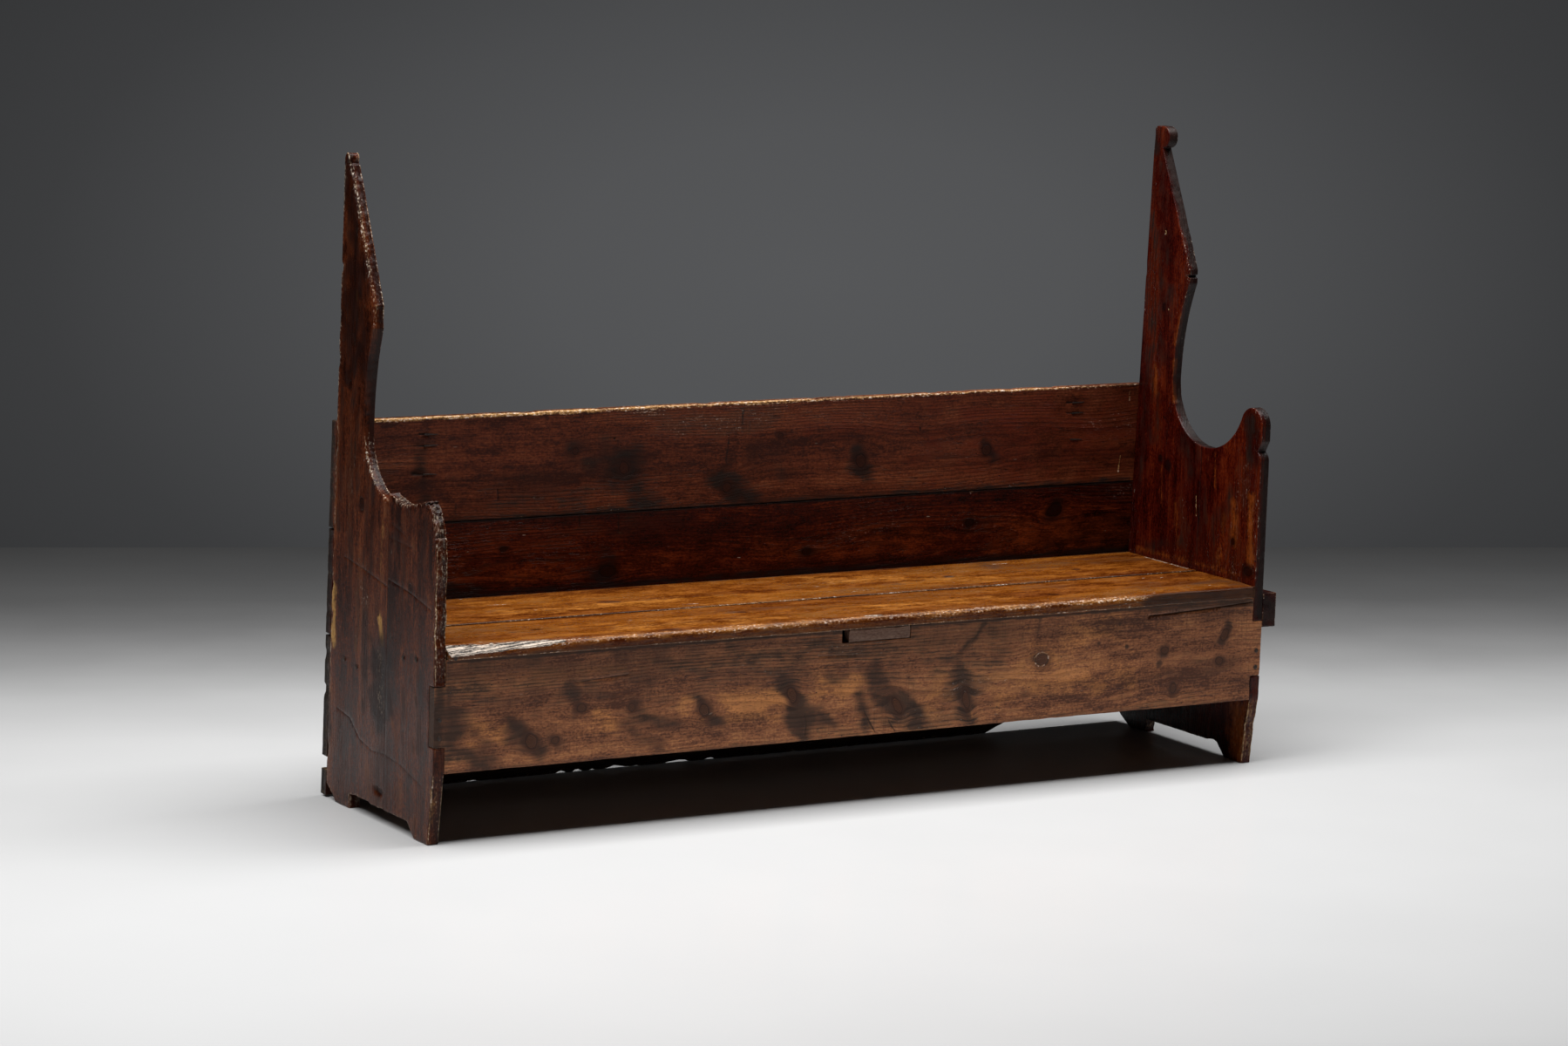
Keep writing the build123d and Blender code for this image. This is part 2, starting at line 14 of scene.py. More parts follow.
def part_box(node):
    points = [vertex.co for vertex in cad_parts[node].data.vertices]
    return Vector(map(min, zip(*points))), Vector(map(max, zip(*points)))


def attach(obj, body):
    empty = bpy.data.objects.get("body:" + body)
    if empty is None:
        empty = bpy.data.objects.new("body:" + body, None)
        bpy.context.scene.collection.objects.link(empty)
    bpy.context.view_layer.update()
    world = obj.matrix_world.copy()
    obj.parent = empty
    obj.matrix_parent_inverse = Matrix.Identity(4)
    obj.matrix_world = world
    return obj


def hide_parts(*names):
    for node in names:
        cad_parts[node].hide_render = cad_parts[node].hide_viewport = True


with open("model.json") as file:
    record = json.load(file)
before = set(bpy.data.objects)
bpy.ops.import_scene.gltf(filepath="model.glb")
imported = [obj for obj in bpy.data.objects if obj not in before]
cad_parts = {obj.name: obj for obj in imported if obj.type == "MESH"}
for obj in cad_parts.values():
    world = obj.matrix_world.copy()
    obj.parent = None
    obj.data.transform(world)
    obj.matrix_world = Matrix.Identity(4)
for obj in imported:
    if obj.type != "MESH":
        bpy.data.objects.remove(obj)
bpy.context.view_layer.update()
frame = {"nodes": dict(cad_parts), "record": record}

# Box settle of old pine planks. Sizes are in millimetres, as in the part:
# X from the middle of the bench, Y back from the front edge of the ends, Z up from the floor.
HALF = 1050.0             # middle to the outer face of an end
END_T = 26.0              # thickness of an end
END_DEPTH = 515.0         # its front edge to its rear edge, at the floor
INNER = HALF - END_T      # middle to the inner face of an end
RAKE = math.radians(2.0)  # how far the back leans
PLANK_SEAM = 227.0        # between the two planks of an end
BACK_TOP = 820.0          # measured up along the back
NOSE = 16.0               # how far the lid stands out before the front
FRONT_T = 24.0            # thickness of the front board
BACK_T = 24.0             # of the back boards
BATTEN_T = 24.0           # and of the battens behind them
BATTEN_AT = 840           # middle of the bench to these battens
LID_LEFT = -1021.0        # left end of the lid
TEAR_L = 430.0            # splinter lost from the left end of the lid's nose: length
TEAR_IN = 34.0            # how far in it reaches
TEAR_H = 20.0             # and its height at the end
TEAR_ROUGH = 4.0          # unevenness of the place that it left
TEAR_LEFT = 3.0           # thickness that stays under it
DARK_NOSE = 715           # from here to the right the lid's nose is black with dirt
ABOVE = 1440              # just over the tops of the ends
BEYOND = 2000             # past the ends of any board
REACH = 1020              # middle to the end of a mark that runs along a whole board
SEAT_REACH = 1015         # the same on the seat
# Nails in the tongues of the front board, as (along, up)
TONGUE_NAILS = [(along, up) for along in (-1037, 1037) for up in (228, 266)]

# Directions of the boards
X, Y, Z = np.eye(3)
UP = np.array((0, -math.sin(RAKE), math.cos(RAKE)))
OUT = np.array((0, math.cos(RAKE), math.sin(RAKE)))
BACK_FOOT = END_DEPTH * Y

# The part's origin, found from the front board: it is even about X = 0 and its face is Y = 0
front_low, front_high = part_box("front_board")
SHIFT = np.array(((front_low.x + front_high.x) / 2, front_low.y, 0)) * 1000

# How one stretch of a board's outline is worn: rounding of its two corners, raggedness, rubbed wood,
# torn wood, unevenness of the edge itself, and dirt on it with painted shade that grows towards the board's
# back
Edge = namedtuple(
    "Edge", "face back ragged wear torn relief grime", defaults=(2.0, 1.5, 0.5, 0.4, 0.0, 0.3, 0.2)
)
# A stroke on a board's face: its path, half width, what it does to the wood and how deep it is
Mark = namedtuple("Mark", "path width dark wear light torn depth", defaults=(0, 0, 0, 0, 0))
# A knot: middle, half sizes along and across the board, tilt in degrees
Knot = namedtuple("Knot", "u v long wide tilt", defaults=(0,))
SOFT_FROM = 12.0          # wider marks than this fade out softly
ARC = np.radians((0, 22, 45, 67, 90))   # turns at which a rounded edge gets a ring of points
CORNER = math.radians(18)               # a sharper turn of an outline is a corner
CORNER_EASE = 0.55                      # how far a corner is drawn in towards its neighbours
NEAR_CORNER = 2.0                       # extra points of the outline, this far from a corner
STYLE_PASSES = 6                        # how often neighbouring ways of wear are blended
RIM_CLEAR = 2.5                         # points of a face keep this far from its outline
STAYS_FLAT = 2.0                        # of a board's thickness, between its two rounded corners
GRID_SHAKE = 0.5                        # how far grid points are moved, as a share of the grid
FEATURE_CLEAR = 0.45                    # grid points keep this share of the grid away from features
MARK_STEP = 2.5                         # least distance of points along a narrow mark
MARK_LINES = (-1.4, -0.7, 0, 0.7, 1.4)  # lines of points along it, in half widths from its path
WEAR_FADE = 5.0                         # how far rubbed and torn edges reach over a face
TORN_FADE = 3.0
APART = 1370                            # each board is cut from this much further along the trunk
SLOPE = 0.02                            # how fast the pith draws away from a board along its length
# Rings of points about a knot, as shares of its size, and about a dot, each with its count
KNOT_RINGS = (0.0, 0.3, 0.6, 0.85, 1.1, 1.5, 2.0)
DOT_RINGS = ((0, 1), (0.6, 6), (1.0, 8), (1.5, 10))
# Odd numbers that mix the places of the noise
MIXERS = np.array((374761393, 668265263, 2246822519), np.uint64)
LAST_MIXER = np.uint64(1274126177)
# What a material reads at each point of a board
ATTRIBUTES = (
    ("board", "FLOAT_VECTOR", "vector"), ("knot", "FLOAT", "value"), ("raw", "FLOAT", "value"),
    ("tone", "FLOAT_COLOR", "color"),
)


def soft_noise(points, size, seed, octaves=2):
    """Smooth noise from 0 to 1 at points, with features of the given size in each direction."""
    total = np.zeros(len(points))
    weight = 0.0
    place = points / np.asarray(size, float) + seed * 17.31
    for octave in range(octaves):
        share = 0.5 ** octave
        cell = np.floor(place * 2 ** octave).astype(np.int64)
        part = place * 2 ** octave - cell
        part = part * part * (3 - 2 * part)
        for corner in np.ndindex(2, 2, 2):
            near = np.where(corner, part, 1 - part).prod(1)
            total += share * near * lattice(cell + corner, seed + octave)
        weight += share
    return total / weight


def lattice(cell, seed):
    """A steady value from 0 to 1 for each whole-number place."""
    mixed = (cell.astype(np.uint64) * MIXERS).sum(1) + np.uint64(seed * 97531 + 12345)
    mixed = (mixed ^ (mixed >> np.uint64(13))) * LAST_MIXER
    mixed = mixed ^ (mixed >> np.uint64(16))
    return (mixed & np.uint64(0xFFFF)).astype(float) / 0xFFFF


def ease(value, low, high):
    """0 below low, 1 above high and smooth between."""
    share = np.clip((value - low) / (high - low), 0, 1)
    return share * share * (3 - 2 * share)


def path_distance(points, path):
    """Distance of (u, v) points from a path of straight runs."""
    path = np.asarray(path, float)
    nearest = np.linalg.norm(points - path[0], axis=1)
    for a, b in zip(path, path[1:]):
        run = b - a
        along = np.clip(((points - a) @ run) / (run @ run), 0, 1)
        nearest = np.minimum(nearest, np.linalg.norm(points - a - along[:, None] * run, axis=1))
    return nearest


def inside(points, loop):
    """Which (u, v) points lie inside a closed loop."""
    hit = np.zeros(len(points), bool)
    for (u0, v0), (u1, v1) in zip(loop, np.roll(loop, -1, axis=0)):
        if v0 == v1:
            continue
        crosses = (points[:, 1] >= min(v0, v1)) & (points[:, 1] < max(v0, v1))
        hit ^= crosses & (points[:, 0] < u0 + (points[:, 1] - v0) * (u1 - u0) / (v1 - v0))
    return hit


def tree_of(points):
    """Search tree of (u, v) points."""
    tree = KDTree(len(points))
    for index, (u, v) in enumerate(points):
        tree.insert((u, v, 0), index)
    tree.balance()
    return tree


def steps(points):
    """Vectors to each point of a closed loop from the one before it, and on to the next."""
    return points - np.roll(points, 1, axis=0), np.roll(points, -1, axis=0) - points


def strip_faces(rings, count):
    """Quads between neighbouring rings of equal count."""
    faces = []
    for a in range(0, (rings - 1) * count, count):
        for i in range(count):
            j = (i + 1) % count
            faces.append((a + i, a + j, a + count + j, a + count + i))
    return faces


def add_object(name, data):
    """New object in the scene."""
    made = bpy.data.objects.new(name, data)
    bpy.context.scene.collection.objects.link(made)
    return made


def make_piece(name, mesh_name, points, faces):
    """New object, from points in metres, with its faces turned outwards."""
    mesh = bpy.data.meshes.new(mesh_name)
    mesh.from_pydata(points.tolist(), [], faces)
    work = bmesh.new()
    work.from_mesh(mesh)
    bmesh.ops.recalc_face_normals(work, faces=work.faces)
    work.to_mesh(mesh)
    work.free()
    return add_object(name, mesh)


@dataclass
class Board:
    """One plank, built as a worn mesh over the flat outline of its CAD node.

    Its own frame is u along the grain, v across it and w through it, from the face that shows most."""

    node: str
    slot: str                  # its material
    origin: tuple
    along: np.ndarray
    across: np.ndarray
    through: np.ndarray
    thick: float
    seed: int
    edge: Edge = Edge()
    zones: list = ()           # stretches of the outline that are worn in another way
    marks: list = ()
    knots: list = ()
    pith: tuple = (0.0, 90.0)  # middle of the trunk: its v, and how far it lies before the face
    grid: float = 11.0         # distance of the points of the face
    back_grid: float = 24.0    # of the back
    step: float = 7.0          # and of the outline
    wave: float = 0.7          # how uneven the wood is
    loop: list = None          # the outline, where the node's own isn't used
    tear: object = None        # function for the depth of what is lost
    edge_rings: int = 2        # rings of points on the edge, between its rounded corners
    raw: float = 0.0           # 1 for a back that was never stained

    def __post_init__(self):
        self.axes = np.array((self.along, self.across, self.through), float)
        self.loop = self.cad_loop() if self.loop is None else np.asarray(self.loop, float)

    def to_board(self, world):
        """Places in the part's frame, in metres, as (u, v, w) in millimetres."""
        return (np.asarray(world) * 1000 - SHIFT - self.origin) @ self.axes.T

    def to_world(self, local):
        """The way back, from (u, v, w) to metres."""
        return (local @ self.axes + self.origin + SHIFT) / 1000

    def noise(self, place, size, salt, octaves=2):
        """This board's own noise: the size of its features, and which of its patterns."""
        return soft_noise(place, size, self.seed + salt, octaves)

    def cad_loop(self):
        """Outer outline of the node's flat face at w = 0."""
        mesh = frame["nodes"][self.node].data
        mesh.calc_loop_triangles()
        places = self.to_board([vertex.co for vertex in mesh.vertices])
        keys = [tuple(np.round(place[:2], 2)) for place in places]
        links = {}
        flat = np.abs(places[:, 2]) < 0.1
        for triangle in mesh.loop_triangles:
            corners = list(triangle.vertices)
            if flat[corners].all():
                for a, b in zip(corners, corners[1:] + corners[:1]):
                    if (keys[b], keys[a]) in links:
                        del links[keys[b], keys[a]]
                    else:
                        links[keys[a], keys[b]] = True
        follow = {a: b for a, b in links}
        loops = []
        while follow:
            start = next(iter(follow))
            loop = [start]
            while loop[-1] in follow:
                loop.append(follow.pop(loop[-1]))
            loops.append(np.array(loop[:-1]))
        return max(loops, key=lambda loop: np.ptp(loop, axis=0).sum())

    def outline(self):
        """Evenly spaced points of the outline, counted anticlockwise, with eased corners."""
        loop = self.loop
        before, after = steps(loop)
        area = (loop[:, 0] * np.roll(loop[:, 1], -1) - loop[:, 1] * np.roll(loop[:, 0], -1)).sum()
        if area < 0:
            loop, before, after = loop[::-1], -after[::-1], -before[::-1]
        swing = before[:, 0] * after[:, 1] - before[:, 1] * after[:, 0]
        turn = np.arctan2(swing, (before * after).sum(1))
        corners = np.flatnonzero(np.abs(turn) > CORNER)
        points = []
        sharp = []
        for a, b in zip(corners, np.roll(corners, -1)):
            stop = b if b > a else b + len(loop)
            run = loop[np.arange(a, stop + 1) % len(loop)]
            reach = np.concatenate(([0], np.cumsum(np.linalg.norm(np.diff(run, axis=0), axis=1))))
            count = max(1, round(reach[-1] / self.step))
            at = np.linspace(0, reach[-1], count + 1)[:-1]
            near = min(NEAR_CORNER, reach[-1] / 4)
            at = np.sort(np.concatenate((at, [near, reach[-1] - near])))
            points.append(np.stack([np.interp(at, reach, run[:, k]) for k in (0, 1)], 1))
            sharp.append(np.arange(len(at)) == 0)
        points = np.concatenate(points)
        sharp = np.concatenate(sharp)
        middle = (np.roll(points, 1, axis=0) + np.roll(points, -1, axis=0)) / 2
        points[sharp] = points[sharp] * (1 - CORNER_EASE) + middle[sharp] * CORNER_EASE
        return points

    def styles(self, points):
        """How the outline is worn at each point, as an array with the fields of Edge."""
        rows = []
        for u, v in points:
            fits = (style for u0, u1, v0, v1, style in self.zones if u0 <= u <= u1 and v0 <= v <= v1)
            rows.append(next(fits, self.edge))
        rows = np.array(rows, float)
        for _ in range(STYLE_PASSES):
            rows = (np.roll(rows, 1, axis=0) + 2 * rows + np.roll(rows, -1, axis=0)) / 4
        rounded = rows[:, 0] + rows[:, 1]
        rows[:, :2] *= np.minimum(1, (self.thick - STAYS_FLAT) / rounded)[:, None]
        return Edge(*rows.T)

    def rings(self):
        """Closed rings of (u, v, w) points, from the face over the edge to the back."""
        points = self.outline()
        style = self.styles(points)
        before, after = steps(points)
        before /= np.linalg.norm(before, axis=1)[:, None]
        after /= np.linalg.norm(after, axis=1)[:, None]
        left_before = np.stack((-before[:, 1], before[:, 0]), 1)
        left_after = np.stack((-after[:, 1], after[:, 0]), 1)
        inward = left_before + left_after
        inward /= np.maximum(0.7, (left_before * inward).sum(1))[:, None]
        flat = np.column_stack((points, np.zeros(len(points))))
        rough = 0.35 * self.noise(flat, 30, 0) + 0.2 * self.noise(flat, 7, 1)
        chip = ease(self.noise(flat, 40, 2), 0.56, 0.8) * (0.5 + self.noise(flat, 9, 3))
        points = points + inward * (style.ragged * (rough + 1.5 * chip))[:, None]
        levels = []
        for turn in ARC:
            flatness = math.cos(turn)
            levels.append((style.face * (1 - math.sin(turn)), style.face * (1 - flatness), flatness))
        for share in np.arange(1, self.edge_rings + 1) / (self.edge_rings + 1):
            levels.append((0, style.face + share * (self.thick - style.face - style.back), 0.0))
        for turn in ARC[::-1]:
            flatness = math.cos(turn)
            depth = self.thick - style.back * (1 - flatness)
            levels.append((style.back * (1 - math.sin(turn)), depth, flatness))
        rings = []
        wear = []
        grime = []
        for inset, depth, flatness in levels:
            place = np.column_stack((points, np.broadcast_to(depth, len(points))))
            bump = self.noise(place, 13, 4) + self.noise(place, (5, 5, 7), 5) - 0.5
            uneven = style.relief * np.maximum(0, bump) * (1 - flatness)
            place[:, :2] += inward * (inset + uneven)[:, None]
            rings.append(place)
            wear.append(style.wear * (1 - 1.6 * abs(flatness - 0.5)))
            # Dirt on the edge, with painted shade that grows towards the board's back, so the lower part of
            # the lid's nose is darker
            deep = ease(depth / self.thick, 0.3, 0.75)
            grime.append(np.minimum(1, style.grime * (1 - flatness) * (0.4 + 0.6 * deep)))
        return rings, wear, grime, style

    def fill_points(self, loop, grid, features):
        """Points inside a loop for its triangles: a shaken grid, closer together around features."""
        low, high = loop.min(0), loop.max(0)
        counts = np.maximum(2, np.ceil((high - low) / grid)).astype(int)
        lines = [np.linspace(low[k], high[k], counts[k]) for k in (0, 1)]
        net = np.stack(np.meshgrid(*lines, indexing="ij"), -1).reshape(-1, 2)
        flat = np.column_stack((net, np.zeros(len(net))))
        for k in (0, 1):
            net[:, k] += grid * GRID_SHAKE * (self.noise(flat, 3, 5 + k, 1) - 0.5)
        if len(features):
            taken = tree_of(features)
            clear = [taken.find((u, v, 0))[2] > grid * FEATURE_CLEAR for u, v in net]
            net = np.concatenate((net[clear], features))
        net = net[inside(net, loop)]
        border = tree_of(loop)
        return net[[border.find((u, v, 0))[2] > RIM_CLEAR for u, v in net]]

    def features(self):
        """Extra points around knots and narrow marks, so that the mesh can show them."""
        extra = []
        for knot in self.knots:
            tilt = math.radians(knot.tilt)
            for share in KNOT_RINGS:
                count = max(1, round(2 * math.pi * share * math.sqrt(knot.long * knot.wide) / 5))
                for turn in np.arange(count) * 2 * math.pi / count:
                    a = share * knot.long * math.cos(turn)
                    b = share * knot.wide * math.sin(turn)
                    u = knot.u + a * math.cos(tilt) - b * math.sin(tilt)
                    v = knot.v + a * math.sin(tilt) + b * math.cos(tilt)
                    extra.append((u, v))
        for mark in self.marks:
            if mark.width > SOFT_FROM:
                continue
            path = np.asarray(mark.path, float)
            gap = max(MARK_STEP, mark.width * 0.7)
            for a, b in zip(path, path[1:]):
                run = b - a
                length = np.linalg.norm(run)
                side = np.array((-run[1], run[0])) / length
                for at in np.arange(0, length, gap):
                    for share in MARK_LINES:
                        extra.append(tuple(a + run * at / length + side * share * mark.width))
            if len(path) == 1:
                for share, count in DOT_RINGS:
                    for turn in np.arange(count) * 2 * math.pi / count:
                        ray = np.array((math.cos(turn), math.sin(turn)))
                        extra.append(tuple(path[0] + mark.width * share * ray))
        return np.array(extra).reshape(-1, 2)

    def mark_strength(self, mark, place):
        """How strongly a mark shows at (u, v, w) places on the face."""
        shake = self.noise(place, (mark.width * 2 + 8, mark.width + 3, 40), 7)
        width = mark.width * (0.55 + 0.9 * shake)
        spot = place[:, :2].copy()
        core, rim = (0.35, 1.15)
        if mark.width > SOFT_FROM:
            core, rim = (0.0, 1.5)
            for k, size in enumerate(((50, 34, 60), (34, 26, 60))):
                spot[:, k] += 1.5 * mark.width * (self.noise(place, size, 20 + k) - 0.5)
        return 1 - ease(path_distance(spot, mark.path) / width, core, rim)

    def cover(self, rings):
        """Places and faces of the whole skin: the rings, then triangles over the face and the back."""
        count = len(rings[0])
        places = list(rings)
        faces = strip_faces(len(rings), count)
        total = len(rings) * count
        face = (0, self.grid, self.features(), 0.0)
        back = (len(rings) - 1, self.back_grid, (), self.thick)
        for ring, grid, extra, depth in (face, back):
            loop = rings[ring][:, :2]
            net = self.fill_points(loop, grid, extra)
            coords = [Vector(p) for p in np.concatenate((loop, net))]
            made, _, triangles, origins, _, _ = delaunay_2d_cdt(coords, [], [list(range(count))], 1, 1e-4)
            added = []
            index = []
            for spot, source in zip(made, origins):
                if source and source[0] < count:
                    index.append(ring * count + source[0])
                else:
                    index.append(total + len(added))
                    added.append((spot.x, spot.y, depth))
            for triangle in triangles:
                faces.append(tuple(index[k] for k in triangle))
            places.append(np.array(added).reshape(-1, 3))
            total += len(added)
        return places, faces

    def build(self):
        """The finished board as an object."""
        rings, ring_wear, ring_grime_and_shade, style = self.rings()
        places, faces = self.cover(rings)
        place = np.concatenate(places)
        rest = [np.zeros(len(part)) for part in places[len(rings):]]
        wear = np.concatenate(ring_wear + rest)
        grime = np.concatenate(ring_grime_and_shade + rest)
        torn = np.concatenate([style.torn] * len(rings) + rest)
        border = tree_of(rings[0][:, :2])
        for i in range(len(rings) * len(rings[0]), len(place)):
            _, near, gap = border.find((place[i, 0], place[i, 1], 0))
            wear[i] = style.wear[near] * 0.6 * math.exp(-gap / WEAR_FADE)
            torn[i] = style.torn[near] * 0.8 * math.exp(-gap / TORN_FADE)
        tone = np.zeros((len(place), 4))
        shallow = 1 - place[:, 2] / self.thick
        sink = self.wave * self.noise(place, (420, 70, 60), 8, 3)
        sink += 0.25 * self.wave * self.noise(place, (60, 11, 40), 9)
        lift = self.wave * self.noise(place, (380, 80, 60), 10, 3)
        for mark in self.marks:
            strength = self.mark_strength(mark, place) * ease(shallow, 0.2, 0.8)
            for channel, amount in enumerate((mark.wear, mark.dark, mark.light, mark.torn)):
                tone[:, channel] = np.maximum(tone[:, channel], strength * amount)
            sink += strength * mark.depth
        for channel, amount in ((0, wear), (1, grime), (3, torn)):
            tone[:, channel] = np.maximum(tone[:, channel], amount)
        grain, knot = self.grain(place)
        raw = self.raw * ease(1 - shallow, 0.85, 0.97)
        place[:, 2] += sink * shallow - lift * (1 - shallow)
        if self.tear is not None:
            cut = self.tear(place)
            tone[:, 3] = np.maximum(tone[:, 3], ease(cut - place[:, 2], -1.5, 1.0))
            place[:, 2] = np.maximum(place[:, 2], np.minimum(cut, self.thick - TEAR_LEFT))
        piece = make_piece(self.node + "_wood", self.node + "_worn", self.to_world(place), faces)
        piece.data.shade_smooth()
        for (name, kind, key), values in zip(ATTRIBUTES, (grain, knot, raw, tone)):
            piece.data.attributes.new(name, kind, "POINT").data.foreach_set(key, values.ravel())
        return piece

    def grain(self, place):
        """The wood's own coordinates, in metres: along the trunk, and across it from the pith."""
        u, v, w = place.T
        bent = v.copy()
        knot = np.full(len(place), -2.0)
        shake = self.noise(place, 14, 11) - 0.5
        for spot in self.knots:
            tilt = math.radians(spot.tilt)
            du = u - spot.u
            dv = v - spot.v
            a = (du * math.cos(tilt) + dv * math.sin(tilt)) / spot.long
            b = (dv * math.cos(tilt) - du * math.sin(tilt)) / spot.wide
            reach = np.sqrt(a * a + b * b)
            flow = np.exp(-((a / 2.2) ** 2 + (b / 1.7) ** 2))
            bent -= 0.8 * dv * flow
            knot = np.maximum(knot, 1 - reach * (1 + 0.5 * shake))
        drift = self.noise(place, (500, 300, 300), 12, 3) - 0.5
        sway = self.noise(place, (350, 250, 250), 13) - 0.5
        side = bent - self.pith[0] + 40 * drift
        depth = w + self.pith[1] + SLOPE * u + 30 * sway
        return np.column_stack((u + APART * self.seed, side, depth)) / 1000, knot


class Nodes:
    """Short ways to write the nodes of a material or of the world."""

    def __init__(self, holder):
        self.holder = holder
        holder.use_nodes = True
        self.tree = holder.node_tree
        self.tree.nodes.clear()

    def node(self, kind, settings, inputs):
        made = self.tree.nodes.new(kind)
        for key, value in settings.items():
            setattr(made, key, value)
        for key, value in inputs.items():
            if isinstance(value, bpy.types.NodeSocket):
                self.tree.links.new(value, made.inputs[key])
            else:
                made.inputs[key].default_value = value
        return made

    def attribute(self, name):
        return self.node("ShaderNodeAttribute", {"attribute_name": name}, {})

    def math(self, kind, a, b=0.0):
        return self.node("ShaderNodeMath", {"operation": kind}, {0: a, 1: b}).outputs[0]

    def vector(self, kind, a, b):
        return self.node("ShaderNodeVectorMath", {"operation": kind}, {0: a, 1: b}).outputs[0]

    def measure(self, kind, a, b=(0, 0, 0)):
        """Length of a vector, or the dot product of two."""
        return self.node("ShaderNodeVectorMath", {"operation": kind}, {0: a, 1: b}).outputs["Value"]

    def coordinates(self, kind):
        return self.node("ShaderNodeTexCoord", {}, {}).outputs[kind]

    def total(self, *parts):
        """Sum of (value, weight) pairs, with a lone number for a fixed amount."""
        added = None
        for part in parts:
            scaled = self.math("MULTIPLY", *part) if isinstance(part, tuple) else part
            added = scaled if added is None else self.math("ADD", added, scaled)
        return added

    def both(self, *masks):
        """Product of masks."""
        made = masks[0]
        for mask in masks[1:]:
            made = self.math("MULTIPLY", made, mask)
        return made

    def noise(self, place, stretch, detail, rough=0.5):
        place = self.vector("MULTIPLY", place, stretch)
        inputs = {"Vector": place, "Scale": 1.0, "Detail": detail, "Roughness": rough}
        return self.node("ShaderNodeTexNoise", {}, inputs).outputs[0]

    def fit(self, value, low, high, to_low=0.0, to_high=1.0):
        settings = {"interpolation_type": "SMOOTHSTEP"}
        inputs = {0: value, 1: low, 2: high, 3: to_low, 4: to_high}
        return self.node("ShaderNodeMapRange", settings, inputs).outputs[0]

    def spots(self, place, stretch, size, share):
        """Scattered spots: how far apart they lie, their size and the share of places that have one."""
        place = self.vector("MULTIPLY", place, stretch)
        cells = self.node("ShaderNodeTexVoronoi", {}, {"Vector": place, "Scale": 1.0})
        chosen = self.node("ShaderNodeSeparateColor", {}, {0: cells.outputs["Color"]}).outputs[0]
        near = self.fit(cells.outputs["Distance"], size, size * 0.6)
        return self.both(near, self.math("GREATER_THAN", chosen, 1 - share))

    def mix(self, share, a, b, kind="MIX"):
        settings = {"data_type": "RGBA", "blend_type": kind}
        return self.node("ShaderNodeMix", settings, {0: share, 6: a, 7: b}).outputs[2]

    def lined(self, share, colour):
        """A colour with dark lines drawn over it."""
        return self.mix(share, colour, LINE, "MULTIPLY")

    def ramp(self, value, stops):
        made = self.node("ShaderNodeValToRGB", {}, {0: value})
        spots = made.color_ramp.elements
        while len(spots) < len(stops):
            spots.new(0.5)
        for spot, (at, colour) in zip(spots, stops):
            spot.position = at
            spot.color = (*colour, 1)
        return made.outputs[0]

    def finish(self, colour, roughness, height, strength, distance, **fixed):
        relief = {"Strength": strength, "Distance": distance, "Height": height}
        bump = self.node("ShaderNodeBump", {}, relief)
        sockets = {"Base Color": colour, "Roughness": roughness, "Normal": bump.outputs[0]}
        for key, value in fixed.items():
            sockets[key.replace("_", " ")] = value
        shader = self.node("ShaderNodeBsdfPrincipled", {}, sockets)
        self.node("ShaderNodeOutputMaterial", {}, {"Surface": shader.outputs[0]})
        return self.holder


# Colours of a wood, dark to light, then rubbed, grimy, glazed and torn wood, the grime colour also for
# painted shade; how strongly rings, dark dashes, saw marks, stains and pale nicks show; ring width in
# metres; roughness of clean and dull places; shine; what grime and painted shade add to the roughness
Look = namedtuple(
    "Look", "deep mid bright bare grime glaze torn ring dash saw stain nick ring_w clean dull shine matt",
    defaults=(0.22,),
)
LINE = (0.20, 0.15, 0.13, 1)   # what a dark line leaves of the colour
NICK = (0.5, 0.42, 0.34, 1)    # wood laid bare by a knock
# Wood that was never stained
DRY = [(0.25, (0.050, 0.026, 0.014)), (0.5, (0.125, 0.072, 0.042)), (0.75, (0.22, 0.138, 0.085))]
# Noises that run with the grain, their sum, and the dark lines of the growth rings
Figure = namedtuple("Figure", "value streak fibre mottle crumb patch late")


def shade(colour, share):
    """A colour made darker or lighter, as a socket takes it."""
    return (*[part * share for part in colour], 1)


def tints(colour, *stops):
    """Stops of a ramp, each at its place with its share of one colour."""
    return [(at, [part * share for part in colour]) for at, share in stops]


def figure(n, board, ring_w):
    """What the wood shows before it is stained: fibres, patches and growth rings about the pith."""
    band = n.noise(board, (0.7, 20, 20), 4, 0.6)
    streak = n.noise(board, (14, 290, 290), 3, 0.62)
    fibre = n.noise(board, (40, 1200, 1200), 2, 0.6)
    mottle = n.noise(board, (15, 36, 36), 6, 0.68)
    crumb = n.noise(board, (150, 240, 240), 3, 0.65)
    patch = n.noise(board, (2.6, 9, 9), 4, 0.62)
    value = n.total(
        (band, 0.7), (mottle, 0.8), (patch, 0.9), (streak, 0.5), (crumb, 0.75), (fibre, 0.35), -1.5
    )
    # Rings are of uneven spacing, and come and go
    from_pith = n.measure("LENGTH", n.vector("MULTIPLY", board, (0, 1, 1)))
    sway = n.noise(board, (1.7, 9, 9), 3)
    shake = n.noise(board, (16, 70, 70), 2)
    reach = n.total((from_pith, 1), (sway, 0.011), (shake, 0.0012))
    reach = n.total((reach, 1), (n.noise(reach, (75, 0, 0), 2), 0.007))
    phase = n.math("FRACT", n.math("DIVIDE", reach, ring_w))
    strength = n.fit(n.total((patch, 0.6), (mottle, 0.4)), 0.38, 0.58, 0.15, 1.0)
    late = n.both(n.fit(phase, 0.3, 0.92), n.fit(phase, 1.0, 0.94), strength)
    return Figure(value, streak, fibre, mottle, crumb, patch, late)


